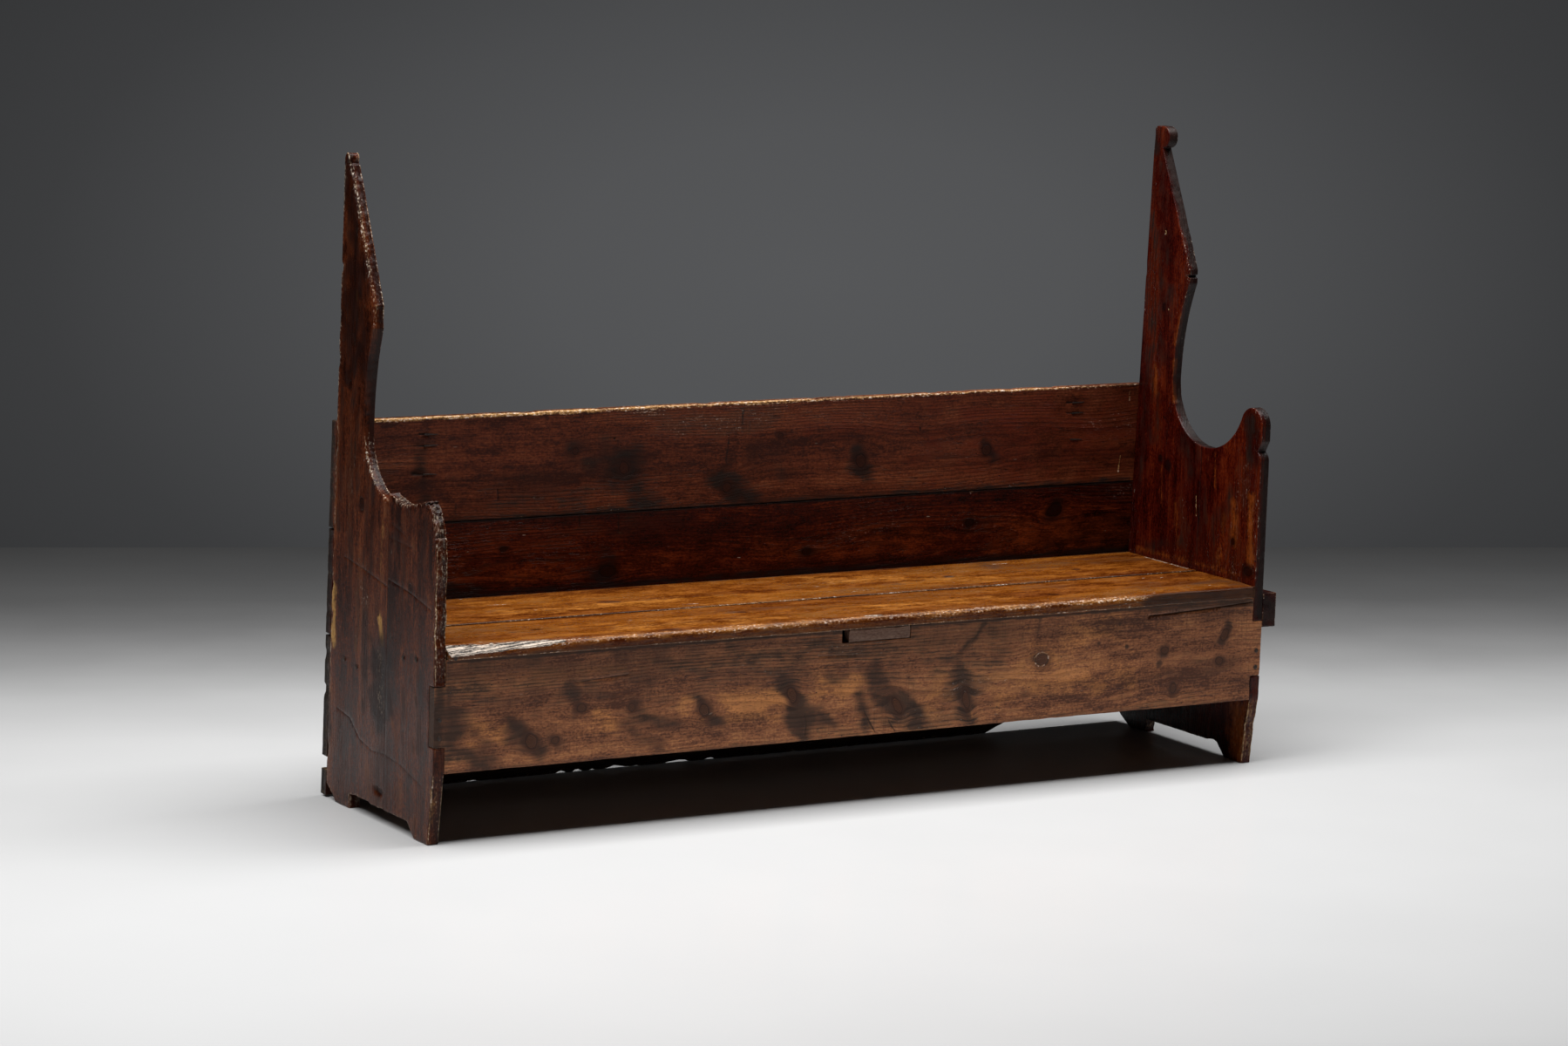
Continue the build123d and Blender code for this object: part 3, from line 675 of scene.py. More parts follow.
def stained(n, look, f, board, dark, light):
    """Colour of the stained wood, dirt and painted shade included, and the masks of its dashes and of its
    dirt and painted shade.
    """
    colour = n.ramp(f.value, [(0.25, look.deep), (0.5, look.mid), (0.75, look.bright)])
    colour = n.mix(n.attribute("raw").outputs["Fac"], colour, n.ramp(f.value, DRY))
    colour = n.lined(n.both(f.late, look.ring), colour)
    # Short dark dashes along the grain and fine saw marks across it
    dash = n.both(n.fit(n.noise(board, (34, 430, 430), 1), 0.6, 0.66), n.fit(f.patch, 0.42, 0.6))
    colour = n.lined(n.both(dash, look.dash), colour)
    saw = n.both(n.fit(n.noise(board, (270, 10, 10), 2), 0.55, 0.66), n.fit(f.mottle, 0.44, 0.58))
    colour = n.lined(n.both(saw, look.saw), colour)
    # Stains that come with age, and smudges and painted shadows in given places, with edges that follow the
    # grain
    break_up = n.total((f.mottle, 1.9), (f.crumb, 0.8), (f.streak, 0.8), (f.late, 0.12), -1.78)
    stain = n.fit(n.total((f.patch, 1), (break_up, 0.25)), 0.55, 0.66, 0.0, look.stain)
    soil_and_shade = n.mix(n.fit(f.mottle, 0.36, 0.64), shade(look.grime, 0.6), shade(look.grime, 1.7))
    soil_and_shade = n.lined(n.both(f.late, 0.6), soil_and_shade)
    colour = n.mix(stain, colour, soil_and_shade)
    glaze = n.fit(n.total((light, 1), (break_up, 0.6)), 0.15, 0.8, 0.0, 0.9)
    polish = n.mix(n.fit(f.value, 0.25, 0.75), shade(look.glaze, 0.45), shade(look.glaze, 1.4))
    colour = n.mix(glaze, colour, n.lined(n.both(f.late, look.ring), polish))
    grime = n.fit(n.total((dark, 1), (break_up, 0.9)), 0.12, 0.94, 0.0, 0.93)
    return n.mix(grime, colour, soil_and_shade), dash, grime


def knotted(n, look, f, colour):
    """Colour with the knots: a shadow, a heart with fine rings and a dark rim; and the rims' mask."""
    near = n.total((n.attribute("knot").outputs["Fac"], 1), (f.crumb, 0.25), (f.mottle, 0.6), -0.42)
    colour = n.mix(n.fit(near, -1.3, 0.0, 0.0, 0.6), colour, shade(look.deep, 0.7))
    ripple = n.fit(n.math("SINE", n.math("MULTIPLY", near, 34.0)), -0.2, 0.9)
    heart = n.mix(ripple, shade(look.deep, 0.5), shade(look.mid, 0.42))
    colour = n.mix(n.fit(near, -0.02, 0.1, 0.0, 0.9), colour, heart)
    rim = n.fit(n.math("ABSOLUTE", near), 0.17, 0.04, 0.0, 0.65)
    return n.mix(rim, colour, shade(look.deep, 0.25)), rim


def wood(name, look):
    """Old stained pine, with worn edges and torn places where its board has them; their palest flecks are
    painted glints.
    """
    n = Nodes(bpy.data.materials.new(name))
    board = n.attribute("board").outputs["Vector"]
    tone = n.attribute("tone")
    wear, dark, light = n.node("ShaderNodeSeparateColor", {}, {0: tone.outputs["Color"]}).outputs[:3]
    f = figure(n, board, look.ring_w)
    colour, dash, grime = stained(n, look, f, board, dark, light)
    colour, rim = knotted(n, look, f, colour)
    bare = n.fit(n.total((wear, 1), (f.crumb, 1.2), (f.streak, 0.6), (f.patch, 1.2), -1.5), 0.3, 0.85)
    # Palest stop of the worn colours: a painted glint, pale flecks on worn edges
    painted_glint = [0.5 * part + 0.45 for part in look.bare]
    rubbed_and_glints = tints(look.bare, (0.36, 0.12), (0.48, 0.7), (0.55, 1)) + [(0.61, painted_glint)]
    colour = n.mix(bare, colour, n.ramp(n.total((f.crumb, 0.7), (f.streak, 0.3)), rubbed_and_glints))
    # Torn wood; its palest fibres, in the torn colour, are partly painted glints
    rip = n.fit(n.total((tone.outputs["Alpha"], 1), (f.crumb, 0.9), (f.mottle, 0.6), -0.75), 0.2, 0.6)
    strand = n.noise(board, (7, 300, 300), 3, 0.6)
    splinter = tints(look.torn, (0.40, 0.02), (0.47, 0.2), (0.54, 0.55), (0.64, 1))
    colour = n.mix(rip, colour, n.ramp(n.total((strand, 1.1), (f.crumb, 0.4), -0.25), splinter))
    # Dark pits and pale nicks
    pit = n.both(n.spots(board, (60, 95, 95), 0.15, 0.16), n.fit(f.patch, 0.4, 0.6, 0.3, 1.0))
    colour = n.mix(pit, colour, shade(look.deep, 0.25))
    nick = n.both(n.spots(board, (22, 120, 120), 0.13, 0.035), look.nick)
    colour = n.mix(nick, colour, NICK)
    roughness = n.total(
        (n.fit(f.mottle, 0.35, 0.65), look.dull - look.clean), (f.streak, 0.16), (grime, look.matt),
        (rip, -0.06), look.clean - 0.08,
    )
    height = n.total(
        (f.streak, 0.4), (f.fibre, 0.3), (f.late, 0.35), (f.crumb, 0.25), (pit, -1.2), (dash, -0.7),
        (rim, -0.5),
    )
    tufts = n.both(rip, strand)
    height = n.total((height, 1), (tufts, 3.5), (n.both(bare, f.crumb), 1.0), (f.mottle, 0.5))
    return n.finish(colour, roughness, height, 0.6, 0.0012, Specular_IOR_Level=look.shine)


def forged_iron():
    """Dark old iron with brown rust."""
    n = Nodes(bpy.data.materials.new("forged_iron"))
    place = n.coordinates("Object")
    blot = n.noise(place, (160, 160, 160), 4, 0.6)
    grit = n.noise(place, (900, 900, 900), 3, 0.6)
    value = n.total((blot, 0.8), (grit, 0.4), -0.1)
    rust = [(0.3, (0.008, 0.006, 0.005)), (0.52, (0.022, 0.012, 0.008)), (0.72, (0.06, 0.024, 0.010))]
    colour = n.ramp(value, rust)
    roughness = n.total((blot, 0.4), 0.35)
    return n.finish(colour, roughness, n.total((grit, 0.6), (blot, 0.8)), 0.6, 0.0006, Metallic=0.35)


# What the woods look like
RIGHT_END = Look(
    deep=(0.0080, 0.0005, 0.0003), mid=(0.037, 0.0023, 0.0008), bright=(0.105, 0.013, 0.0020),
    bare=(0.45, 0.27, 0.11), grime=(0.0060, 0.0030, 0.0022), glaze=(0.15, 0.034, 0.0045),
    torn=(0.35, 0.22, 0.11), ring=0.35, dash=0.25, saw=0.0, stain=0.5, nick=0.3, ring_w=0.0055, clean=0.2,
    dull=0.34, shine=0.14,
)
# The left end's torn colour is pale: torn wood, made paler as painted glints on its crumbled edges.
LEFT_END = Look(
    deep=(0.012, 0.0022, 0.0008), mid=(0.066, 0.0135, 0.0040), bright=(0.170, 0.052, 0.017),
    bare=(0.46, 0.31, 0.17), grime=(0.0078, 0.0018, 0.0010), glaze=(0.34, 0.18, 0.050),
    torn=(0.54, 0.43, 0.32), ring=0.32, dash=0.4, saw=0.1, stain=0.6, nick=0.2, ring_w=0.0048, clean=0.17,
    dull=0.30, shine=0.12, matt=0.1,
)
# The upper back's rubbed colour is pale: worn wood, partly a painted highlight along its top edge.
UPPER_BACK = Look(
    deep=(0.026, 0.0050, 0.0018), mid=(0.100, 0.0215, 0.0074), bright=(0.205, 0.058, 0.021),
    bare=(0.52, 0.28, 0.10), grime=(0.0060, 0.0044, 0.0036), glaze=(0.078, 0.0100, 0.0028),
    torn=(0.40, 0.25, 0.12), ring=0.5, dash=0.7, saw=0.25, stain=0.5, nick=0.15, ring_w=0.0056,
    clean=0.32, dull=0.48, shine=0.16,
)
MIDDLE_BACK = Look(
    deep=(0.0060, 0.0005, 0.0002), mid=(0.037, 0.0034, 0.0009), bright=(0.115, 0.0165, 0.0030),
    bare=(0.13, 0.055, 0.020), grime=(0.0036, 0.0014, 0.0009), glaze=(0.105, 0.0165, 0.0028),
    torn=(0.30, 0.16, 0.07), ring=0.65, dash=0.4, saw=0.0, stain=0.45, nick=0.4, ring_w=0.0065,
    clean=0.24, dull=0.36, shine=0.14,
)
# The seat's torn colour is pale: torn wood, made paler as a painted highlight where the lid's nose is torn
# away.
SEAT = Look(
    deep=(0.050, 0.0085, 0.0008), mid=(0.150, 0.040, 0.0032), bright=(0.290, 0.100, 0.0105),
    bare=(0.42, 0.19, 0.050), grime=(0.024, 0.0070, 0.0020), glaze=(0.34, 0.13, 0.020),
    torn=(0.66, 0.54, 0.44), ring=0.3, dash=0.4, saw=0.05, stain=0.4, nick=1.0, ring_w=0.0065, clean=0.20,
    dull=0.42, shine=0.2,
)
FRONT = Look(
    deep=(0.070, 0.0215, 0.0088), mid=(0.260, 0.094, 0.0380), bright=(0.50, 0.210, 0.080),
    bare=(0.36, 0.18, 0.080), grime=(0.0240, 0.0130, 0.0088), glaze=(0.44, 0.172, 0.052),
    torn=(0.45, 0.28, 0.14), ring=0.38, dash=0.8, saw=0.3, stain=0.55, nick=0.2, ring_w=0.0072,
    clean=0.32, dull=0.46, shine=0.22,
)
LOW_BACK = UPPER_BACK._replace(
    mid=(0.036, 0.016, 0.0105), bright=(0.075, 0.038, 0.024), bare=(0.11, 0.06, 0.03),
)
PATCH = FRONT._replace(mid=(0.155, 0.085, 0.058), bright=(0.25, 0.15, 0.105), saw=0.1)
INNER_WOOD = LEFT_END._replace(
    deep=(0.05, 0.022, 0.010), mid=(0.11, 0.055, 0.028), bright=(0.19, 0.105, 0.058), clean=0.5, dull=0.7,
    shine=0.1, matt=0.22,
)
LOOKS = {
    "end_left_wood": LEFT_END,
    "end_right_wood": RIGHT_END,
    "back_upper_wood": UPPER_BACK,
    "back_middle_wood": MIDDLE_BACK,
    "back_low_wood": LOW_BACK,
    "seat_wood": SEAT,
    "front_wood": FRONT,
    "patch_wood": PATCH,
    "inner_wood": INNER_WOOD,
}
materials = {slot: wood(slot, look) for slot, look in LOOKS.items()}
materials["forged_iron"] = forged_iron()

# Ways an outline is worn
SEAM = Edge(0.4, 0.4, 0.15, 0.0, 0.0, 0.1, 0.5)
# Edges of the middle back board, black at the seam with the upper board: painted shade in the gap
BLACK_SEAM = Edge(0.5, 1.5, 0.3, 0.0, 0.0, 0.3, 2.5)
FOOT = Edge(2.5, 2.0, 0.8, 0.6, 0.1, 0.6, 0.3)
SMOOTH = Edge(4.0, 3.0, 0.6, 0.35, 0.0, 0.7, 0.8)
CRUMBLY = Edge(7.0, 6.0, 2.6, 0.58, 0.15, 3.8, 0.9)
BROKEN = Edge(6.0, 5.0, 5.0, 0.58, 0.24, 7.0, 0.8)
CHIPPED = Edge(3.0, 3.0, 1.6, 0.9, 0.15, 2.0, 0.2)
WORN_OFF = Edge(12.0, 4.0, 1.4, 0.52, 0.05, 2.6, 0.9)
DARK_EDGE = Edge(3.0, 3.0, 0.8, 0.3, 0.0, 0.9, 1.6)
FLAT_EDGE = Edge(1.2, 1.0, 0.5, 0.3, 0.0, 0.3, 0.4)
TONGUE_END = Edge(2.0, 1.0, 1.0, 0.1, 0.0, 0.8, 2.5)
FRONT_EDGE = Edge(4.0, 2.5, 2.2, 0.75, 0.2, 2.2, 0.6)
REAR_EDGE = Edge(2.0, 1.5, 1.2, 0.4, 0.0, 0.6, 0.5)
RAGGED_REAR = Edge(3.5, 2.0, 4.0, 0.5, 0.3, 1.6, 0.5)
BOARD_END = Edge(1.5, 1.5, 2.6, 0.15, 0.15, 1.6, 1.5)
RAGGED_FOOT = Edge(1.2, 1.2, 3.6, 0.2, 0.3, 1.2, 0.8)
ARCH = Edge(2.0, 2.0, 2.5, 0.5, 0.3, 1.2, 0.5)
CHIPPED_FOOT = Edge(4.0, 3.0, 4.0, 1.0, 0.3, 3.0, 0.0)
RUBBED_TOP = Edge(2.5, 2, 1.2, 0.6, 0.0, 0.6, 0.0)
ROUGH_SAWN = Edge(1.5, 1.5, 3.0, 0.3, 0.3, 1.0, 0.5)
STRIP_EDGE = Edge(1.2, 1.2, 1.2, 0.3, 0.3, 0.6, 0.5)
SEAT_EDGE = Edge(2.5, 1.5, 0.8, 0.6, 0.0, 0.4, 0.2)
LID_EDGE = Edge(2.5, 2.0, 0.8, 0.5, 0.0, 0.4, 0.2)
DIRTY_NOSE = Edge(5, 5, 2.6, 0.1, 0.0, 2.2, 2.5)
# The lid's rounded nose: the dark on its lower part is painted shade
ROUND_NOSE = Edge(13, 3, 1.8, 0.55, 0.0, 1.8, 0.4)
# The lid's rounded rear edge: the dark in the groove it makes with the rear seat board is painted shade
ROUND_REAR = Edge(12.8, 12.8, 0.0, 0.1, 0.0, 0.0, 0.9)
PATCH_EDGE = Edge(1.2, 1, 0.8, 0.6, 0.0, 0.4, 0.3)
BATTEN_EDGE = Edge(3.5, 3.5, 2.0, 0.55, 0.1, 1.4, 0.7)

# Where they are: from and to along the grain, from and to across it; the first that fits counts
END_ZONES = [
    (-5, 5, -5, 600, FOOT),
    (5, 800, PLANK_SEAM - 1, PLANK_SEAM + 1, SEAM),
    (5, 45, 100, 420, ARCH),
    (5, 150, -2, 20, CHIPPED),
    (150, 340, -2, 26, FLAT_EDGE),
    (5, 640, -2, 20, FRONT_EDGE),
]
LEFT_ZONES = [
    (640, 800, -5, PLANK_SEAM - 2, BROKEN),
    (1372, ABOVE, 380, 480, CHIPPED),
    (1040, 1372, 300, 452, WORN_OFF),
    (640, 800, PLANK_SEAM + 2, 400, CRUMBLY),
    (5, ABOVE, 452, 520, RAGGED_REAR),
]
RIGHT_ZONES = [
    (5, ABOVE, 440, 520, REAR_EDGE),
    (5, 150, -2, 60, CHIPPED_FOOT),
    (340, ABOVE, -5, 440, DARK_EDGE),
]
FRONT_ZONES = [(-1060, -1030, 0, 400, TONGUE_END)]
BACK_ZONES = [(-1060, -1040, 60, 900, BOARD_END)]
UPPER_ZONES = [(-BEYOND, BEYOND, 580, 592, BLACK_SEAM)] + BACK_ZONES
STRIP_ZONES = [(-1060, -1040, 5, 60, BOARD_END), (-BEYOND, 700, -5, 12, RAGGED_FOOT)]
LID_ZONES = [
    (DARK_NOSE, BEYOND, -20, 20, DIRTY_NOSE),
    (-BEYOND, BEYOND, -20, -10, ROUND_NOSE),
    (-BEYOND, BEYOND, 215, 225, ROUND_REAR),
]


def end_piece(node, seed, pith, slot, origin, zones, marks, knots):
    """Plank of an end: grain upright, its face on the side that the photo shows."""
    return Board(node, slot, origin, Z, Y, X, END_T, seed, SMOOTH, zones + END_ZONES, marks, knots, pith,
                 grid=9, back_grid=14, step=3.6, edge_rings=5)


def back_piece(node, slot, seed, edge, zones, pith, marks=(), knots=()):
    """Board of the back: grain along the bench, front face at the ends' rear edges."""
    return Board(node, slot, BACK_FOOT, X, UP, OUT, BACK_T, seed, edge, zones, marks, knots, pith,
                 back_grid=20, raw=1.0)


def plain_piece(node, slot, along, across, through, seed, edge=Edge(), **more):
    """Square-edged board that fills its node's box."""
    low, high = (np.array(corner) * 1000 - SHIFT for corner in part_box(node))
    thick = abs((high - low) @ through)
    origin = np.abs(through) * (low if through.sum() > 0 else high)
    u0, u1 = sorted(((low - origin) @ along, (high - origin) @ along))
    v0, v1 = sorted(((low - origin) @ across, (high - origin) @ across))
    loop = [(u0, v0), (u1, v0), (u1, v1), (u0, v1)]
    return Board(node, slot, origin, along, across, through, thick, seed, edge, loop=loop, **more)


def lid_tear(place):
    """Depth of the lost splinter at the left end of the lid's nose."""
    share = 1 - (place[:, 0] - LID_LEFT) / TEAR_L - (place[:, 1] + NOSE) / TEAR_IN
    ridge = soft_noise(place, (120, 5, 50), 91, 3)
    return TEAR_H * share + TEAR_ROUGH * (ridge - 0.45) - 0.5


def smudges_and_shadows(*rows):
    """Soft dark places, dirt and in some places painted shade: each row is the darkness, the half width and
    the points of the path.
    """
    return [Mark(path, width, dark=dark) for dark, width, *path in rows]


def glows(*rows):
    """Places with more glaze, written like the soft dark places."""
    return [Mark(path, width, light=light) for light, width, *path in rows]


def rubs_and_highlights(*rows):
    """Rubbed places, on some edges also a painted highlight: each row is the wear, the half width, the
    depth and the points of the path.
    """
    return [Mark(path, width, wear=wear, depth=depth) for wear, width, depth, *path in rows]


def scars(*rows):
    """Torn places, written like the rubbed places."""
    return [Mark(path, width, torn=torn, depth=depth) for torn, width, depth, *path in rows]


def cracks(*rows):
    """Thin dark furrows: each row is the half width, the depth and the points of the path."""
    return [Mark(path, width, dark=1.0, depth=depth) for width, depth, *path in rows]


# Places are (up, back) on the ends, (along, up) on the front and the back, (along, back) on the seat
left_marks = smudges_and_shadows(
    (1.0, 62, (365, 262), (250, 254)), (0.5, 60, (150, 250), (60, 240)),
    (0.6, 13, (196, 242), (122, 239)), (0.8, 14, (220, 508), (124, 505)), (0.9, 9, (371, 148)),
    (0.9, 9, (378, 87)), (0.9, 9, (312, 370)), (0.9, 9, (318, 430)), (0.6, 26, (669, 140)),
    (0.5, 30, (622, 184)), (0.8, 12, (640, 32), (575, 28)), (0.4, 22, (73, 292)),
    (0.9, 80, (1390, 440), (1180, 400), (960, 410)), (0.5, 30, (900, 400), (700, 380)),
    (0.5, 16, (640, 300), (560, 310)), (0.35, 18, (560, 60), (420, 70)),
    (0.4, 20, (330, 330), (200, 340)), (0.5, 14, (700, 330), (540, 345)),
    (0.6, 18, (610, 214), (420, 212)), (0.45, 30, (180, 430), (60, 440)),
    (0.45, 40, (330, 60), (200, 70)), (0.75, 13, (730, 300), (500, 310)),
    (0.6, 14, (640, 400), (420, 410)), (0.65, 13, (600, 150), (400, 160)),
    (0.6, 16, (430, 330), (230, 326)), (0.5, 14, (300, 150), (150, 146)),
    (0.5, 14, (240, 420), (80, 430)), (0.6, 20, (660, 60), (560, 80)), (0.6, 14, (900, 460), (600, 470)),
    (0.5, 14, (820, 340), (720, 330)),
) + glows(
    (0.95, 10, (436, 262), (382, 248)), (0.9, 13, (465, 487), (342, 484)),
    (0.5, 5, (1105, 397), (1085, 395)), (0.35, 5, (152, 8), (17, 14)), (0.3, 8, (640, 255), (540, 262)),
) + cracks(
    (0.9, 0.2, (537, 433), (524, 330), (506, 224)), (0.9, 0.2, (523, 221), (512, 122), (492, 24)),
    (0.9, 0.25, (206, 460), (197, 399), (161, 350), (147, 290), (151, 232), (143, 152), (119, 53)),
    (8, 6.0, (65, 242), (68, 272)), (0.7, 0.1, (640, 205), (628, 150)),
    (0.7, 0.1, (612, 210), (606, 120)),
) + scars((0.25, 22, 1.0, (360, 256), (250, 252)))
left_knots = [Knot(662, 356, 13, 9), Knot(520, 120, 10, 7, 10), Knot(905, 420, 10, 7)]
right_marks = glows(
    (0.5, 5, (700, 174), (617, 168)), (0.4, 5, (640, 381), (480, 371)), (0.65, 16, (612, 30), (470, 22)),
    (0.55, 18, (590, 94), (500, 88)), (0.7, 9, (890, 348), (797, 342)), (0.6, 10, (870, 420), (805, 417)),
    (0.45, 12, (560, 130), (450, 140)), (0.4, 9, (1000, 330), (930, 350)),
    (0.4, 10, (560, 320), (460, 300)), (0.4, 9, (432, 470), (432, 60)), (0.75, 45, (20, 40), (130, 25)),
) + smudges_and_shadows(
    (0.8, 14, (640, 354)), (0.7, 12, (655, 388)), (0.6, 24, (452, 34)), (0.5, 40, (720, 290), (640, 270)),
    (0.5, 16, (900, 455), (560, 470)), (0.5, 20, (1192, 390), (1120, 380)),
    (0.5, 22, (1300, 430), (1250, 420)), (0.8, 36, (790, 40), (715, 36)),
    (0.9, 34, (1428, 480), (1375, 470)), (0.4, 20, (600, 210), (470, 215)),
    (0.5, 70, (1400, 455), (900, 430)), (0.6, 24, (1340, 440), (1290, 430)),
    (0.6, 22, (1190, 395), (1140, 410)), (0.55, 24, (1060, 370), (1000, 400)),
    (0.5, 26, (820, 420), (700, 430)), (0.45, 30, (620, 100), (520, 160)),
    (0.5, 20, (470, 300), (440, 420)),
) + rubs_and_highlights(
    (0.8, 1.6, 0.5, (586, 240), (542, 237)), (0.8, 4, 1, (1006, 382)),
    (0.8, 4, 1, (1187, 406), (1180, 404)),
)
right_knots = [
    Knot(643, 358, 11, 8), Knot(657, 388, 6, 5), Knot(445, 28, 10, 16), Knot(505, 90, 8, 6),
    Knot(1010, 400, 9, 6),
]
ringed = Knot(446, 288, 19, 15, -20)   # the front's knot with a pale ring, which is almost closed
ring_path = []
for angle in np.linspace(0, 5.2, 12):
    ring_path.append((ringed.u + ringed.long * math.cos(angle), ringed.v + ringed.wide * math.sin(angle)))
front_marks = smudges_and_shadows(
    (0.95, 24, (-1046, 215), (-1040, 330)), (0.7, 26, (-1012, 190), (-1014, 330)),
    # The thin dark line at up 385, just under the lid's nose, is a painted shadow of the nose
    (0.95, 5, (-REACH, 385), (REACH, 385)), (0.5, 75, (-REACH, 350), (-300, 345), (330, 352)),
    (0.8, 42, (-1010, 270), (-995, 205), (-916, 172)), (0.6, 45, (-1015, 360), (-960, 340)),
    (0.9, 28, (-873, 247), (-823, 202), (-800, 176)), (0.75, 24, (-768, 203)),
    (0.75, 26, (-734, 319), (-708, 267)), (0.8, 28, (-588, 260)),
    (0.65, 30, (-591, 219), (-576, 193), (-522, 167)), (0.6, 28, (-560, 235), (-484, 216)),
    (0.9, 28, (-428, 261), (-388, 214)), (0.5, 40, (-882, 365)), (0.5, 34, (-700, 327)),
    (0.5, 34, (-573, 312)), (0.9, 38, (-212, 280), (-182, 228), (-154, 173)),
    (0.75, 30, (-182, 228), (-97, 186)), (0.8, 40, (-2, 297), (40, 240), (72, 200)),
    (0.85, 32, (72, 230), (124, 172)), (0.75, 24, (-20, 230), (-5, 170)),
    (0.8, 34, (220, 293), (246, 237), (262, 173)), (0.85, 13, (296, 385), (262, 345), (226, 318)),
    (0.6, 8, (439, 381), (434, 350)), (0.9, 8, (654, 353)), (0.9, 7, (599, 313)), (0.9, 8, (676, 300)),
    (0.65, 24, (780, 285)), (0.8, 12, (767, 254)), (0.65, 26, (808, 195)),
    (0.85, 13, (958, 330), (935, 292)), (0.85, 14, (934, 250)), (0.7, 12, (740, 380), (1030, 378)),
    (0.4, 6, (-REACH, 155), (REACH, 155)), *[(0.9, 9, nail) for nail in TONGUE_NAILS],
    (0.35, 60, (820, 240), (960, 230)),
) + glows(
    (0.55, 34, (-950, 240), (-885, 235)), (0.55, 32, (-665, 240), (-625, 215)), (0.55, 28, (-455, 255)),
    (0.6, 40, (-340, 235), (-240, 240)), (0.6, 40, (-110, 270), (-40, 255)),
    (0.45, 45, (330, 240), (700, 225)), (0.35, 30, (-820, 340), (-620, 345)),
    (0.8, 5, (-823, 204), (-806, 180)), (0.8, 8, (-416, 220)), (0.7, 4, (246, 237), (269, 172)),
    (0.8, 3, (284, 372), (240, 322)), (0.45, 40, (520, 330), (640, 340)), (0.5, 70, (446, 290)),
    (0.4, 40, (150, 200), (190, 260)),
) + cracks(
    (1.5, 1.4, (-161, 206), (-158, 186), (-161, 166)), (1.5, 1.4, (-12, 206), (4, 178), (19, 155)),
    (1.5, 1.2, (52, 178), (60, 166), (73, 151)), (1.3, 2.5, (735, 366), (880, 371), (1022, 380)),
    (1.2, 0.8, (-720, 322), (-600, 330)), (1.2, 0.8, (-130, 335), (-40, 332)),
) + rubs_and_highlights((0.7, 2.2, 0, *ring_path))
front_knots = [
    Knot(-823, 205, 13, 18, 25), Knot(-708, 267, 11, 10), Knot(-588, 260, 9, 9),
    Knot(-412, 240, 11, 16, 25), Knot(-195, 255, 10, 16, 20), ringed, Knot(780, 285, 11, 8),
    Knot(808, 195, 8, 12), Knot(946, 309, 8, 15, -25), Knot(934, 250, 10, 9), Knot(72, 212, 9, 20, 30),
    Knot(250, 210, 8, 22, 15), Knot(-768, 203, 9, 8),
]
upper_marks = smudges_and_shadows(
    (0.5, 20, (-851, 757), (-856, 695)), (0.4, 30, (-810, 664)), (0.65, 32, (-473, 728)),
    (0.85, 62, (-374, 700), (-340, 669)), (0.7, 44, (-330, 650), (-293, 612)),
    # The thin dark line at up 589.5, at the seam with the middle board, is painted shade in the gap
    (0.9, 54, (-92, 646), (-60, 612)), (0.95, 2.2, (-REACH, 589.5), (REACH, 589.5)), (0.5, 18, (47, 739)),
    (0.5, 30, (64, 649)), (0.8, 30, (258, 690), (271, 649)), (0.8, 28, (596, 690), (626, 662)),
    (0.4, 40, (-20, 700), (60, 690)), (0.4, 60, (-700, 620), (-480, 640)),
    (0.6, 6, (-REACH, 595), (REACH, 595)), (0.8, 3, (-52, 795), (-52, 770)),
    (0.8, 3, (-85, 735), (-90, 690)), (0.6, 22, (-845, 735), (-838, 640)),
    (0.8, 3, (-367, 745), (-367, 730)), (0.7, 3, (-760, 625), (-760, 605)),
) + glows((0.6, 170, (520, 700), (1040, 700)), (0.4, 60, (120, 760), (400, 770))) + cracks(
    (3.2, 1.5, (-853, 783), (-832, 781)), (2.6, 1.2, (-858, 759), (-824, 757)),
    (2.4, 1.2, (-862, 697), (-832, 694)), (2.4, 1.0, (824, 783), (852, 782)),
    (2.4, 1.0, (826, 758), (856, 757)), (3.0, 1.5, (-376, 752)), (2.6, 1.2, (-205, 700)),
    (2.6, 1.2, (-360, 735)), (2.4, 1.0, (420, 742), (421, 736)), (2.2, 1.0, (-660, 652), (-658, 634)),
) + rubs_and_highlights(
    # Rubs along the top edge are wear and partly a painted highlight, strongest on the left
    (0.6, 6, 0, (-REACH, BACK_TOP - 2), (REACH, BACK_TOP - 2)),
    (0.9, 8, 0, (-960, BACK_TOP - 2), (-420, BACK_TOP - 2)),
    (0.8, 2.5, 0, (985, 650), (981, 612)), (0.6, 2, 0, (1000, 806), (1001, 780)),
)
upper_knots = [
    Knot(-350, 685, 12, 14), Knot(264, 672, 13, 15, 20), Knot(606, 682, 12, 13),
    Knot(-85, 628, 12, 12, 15), Knot(48, 739, 7, 6), Knot(-473, 728, 8, 8),
]
middle_marks = smudges_and_shadows(
    (0.8, 30, (-1000, 425), (-700, 428)), (0.75, 46, (-395, 447), (-374, 468)), (0.5, 40, (132, 465)),
    (0.6, 24, (569, 511)), (0.7, 34, (806, 529)), (0.5, 24, (788, 447)),
    # The thin dark line at up 584.5, at the seam with the upper board, is painted shade in the gap
    (0.8, 10, (-REACH, 424), (REACH, 424)), (0.95, 2.2, (-REACH, 584.5), (REACH, 584.5)),
    (0.8, 3, (-455, 585), (-455, 560)), (0.8, 3, (-357, 580), (-357, 545)),
    (0.4, 40, (-600, 560), (-200, 555)),
) + glows(
    (0.5, 34, (-960, 480), (-760, 478)), (0.45, 30, (-620, 450), (-500, 455)),
    (0.7, 70, (690, 480), (1000, 470)), (0.4, 50, (0, 480), (420, 470)),
    (0.4, 40, (250, 500), (480, 480)),
) + rubs_and_highlights((0.8, 6, 1.0, (571, 586)))
middle_knots = [
    Knot(569, 511, 12, 9), Knot(806, 529, 20, 15, 20), Knot(-380, 455, 20, 14), Knot(132, 470, 12, 8),
    Knot(-640, 520, 9, 6),
]
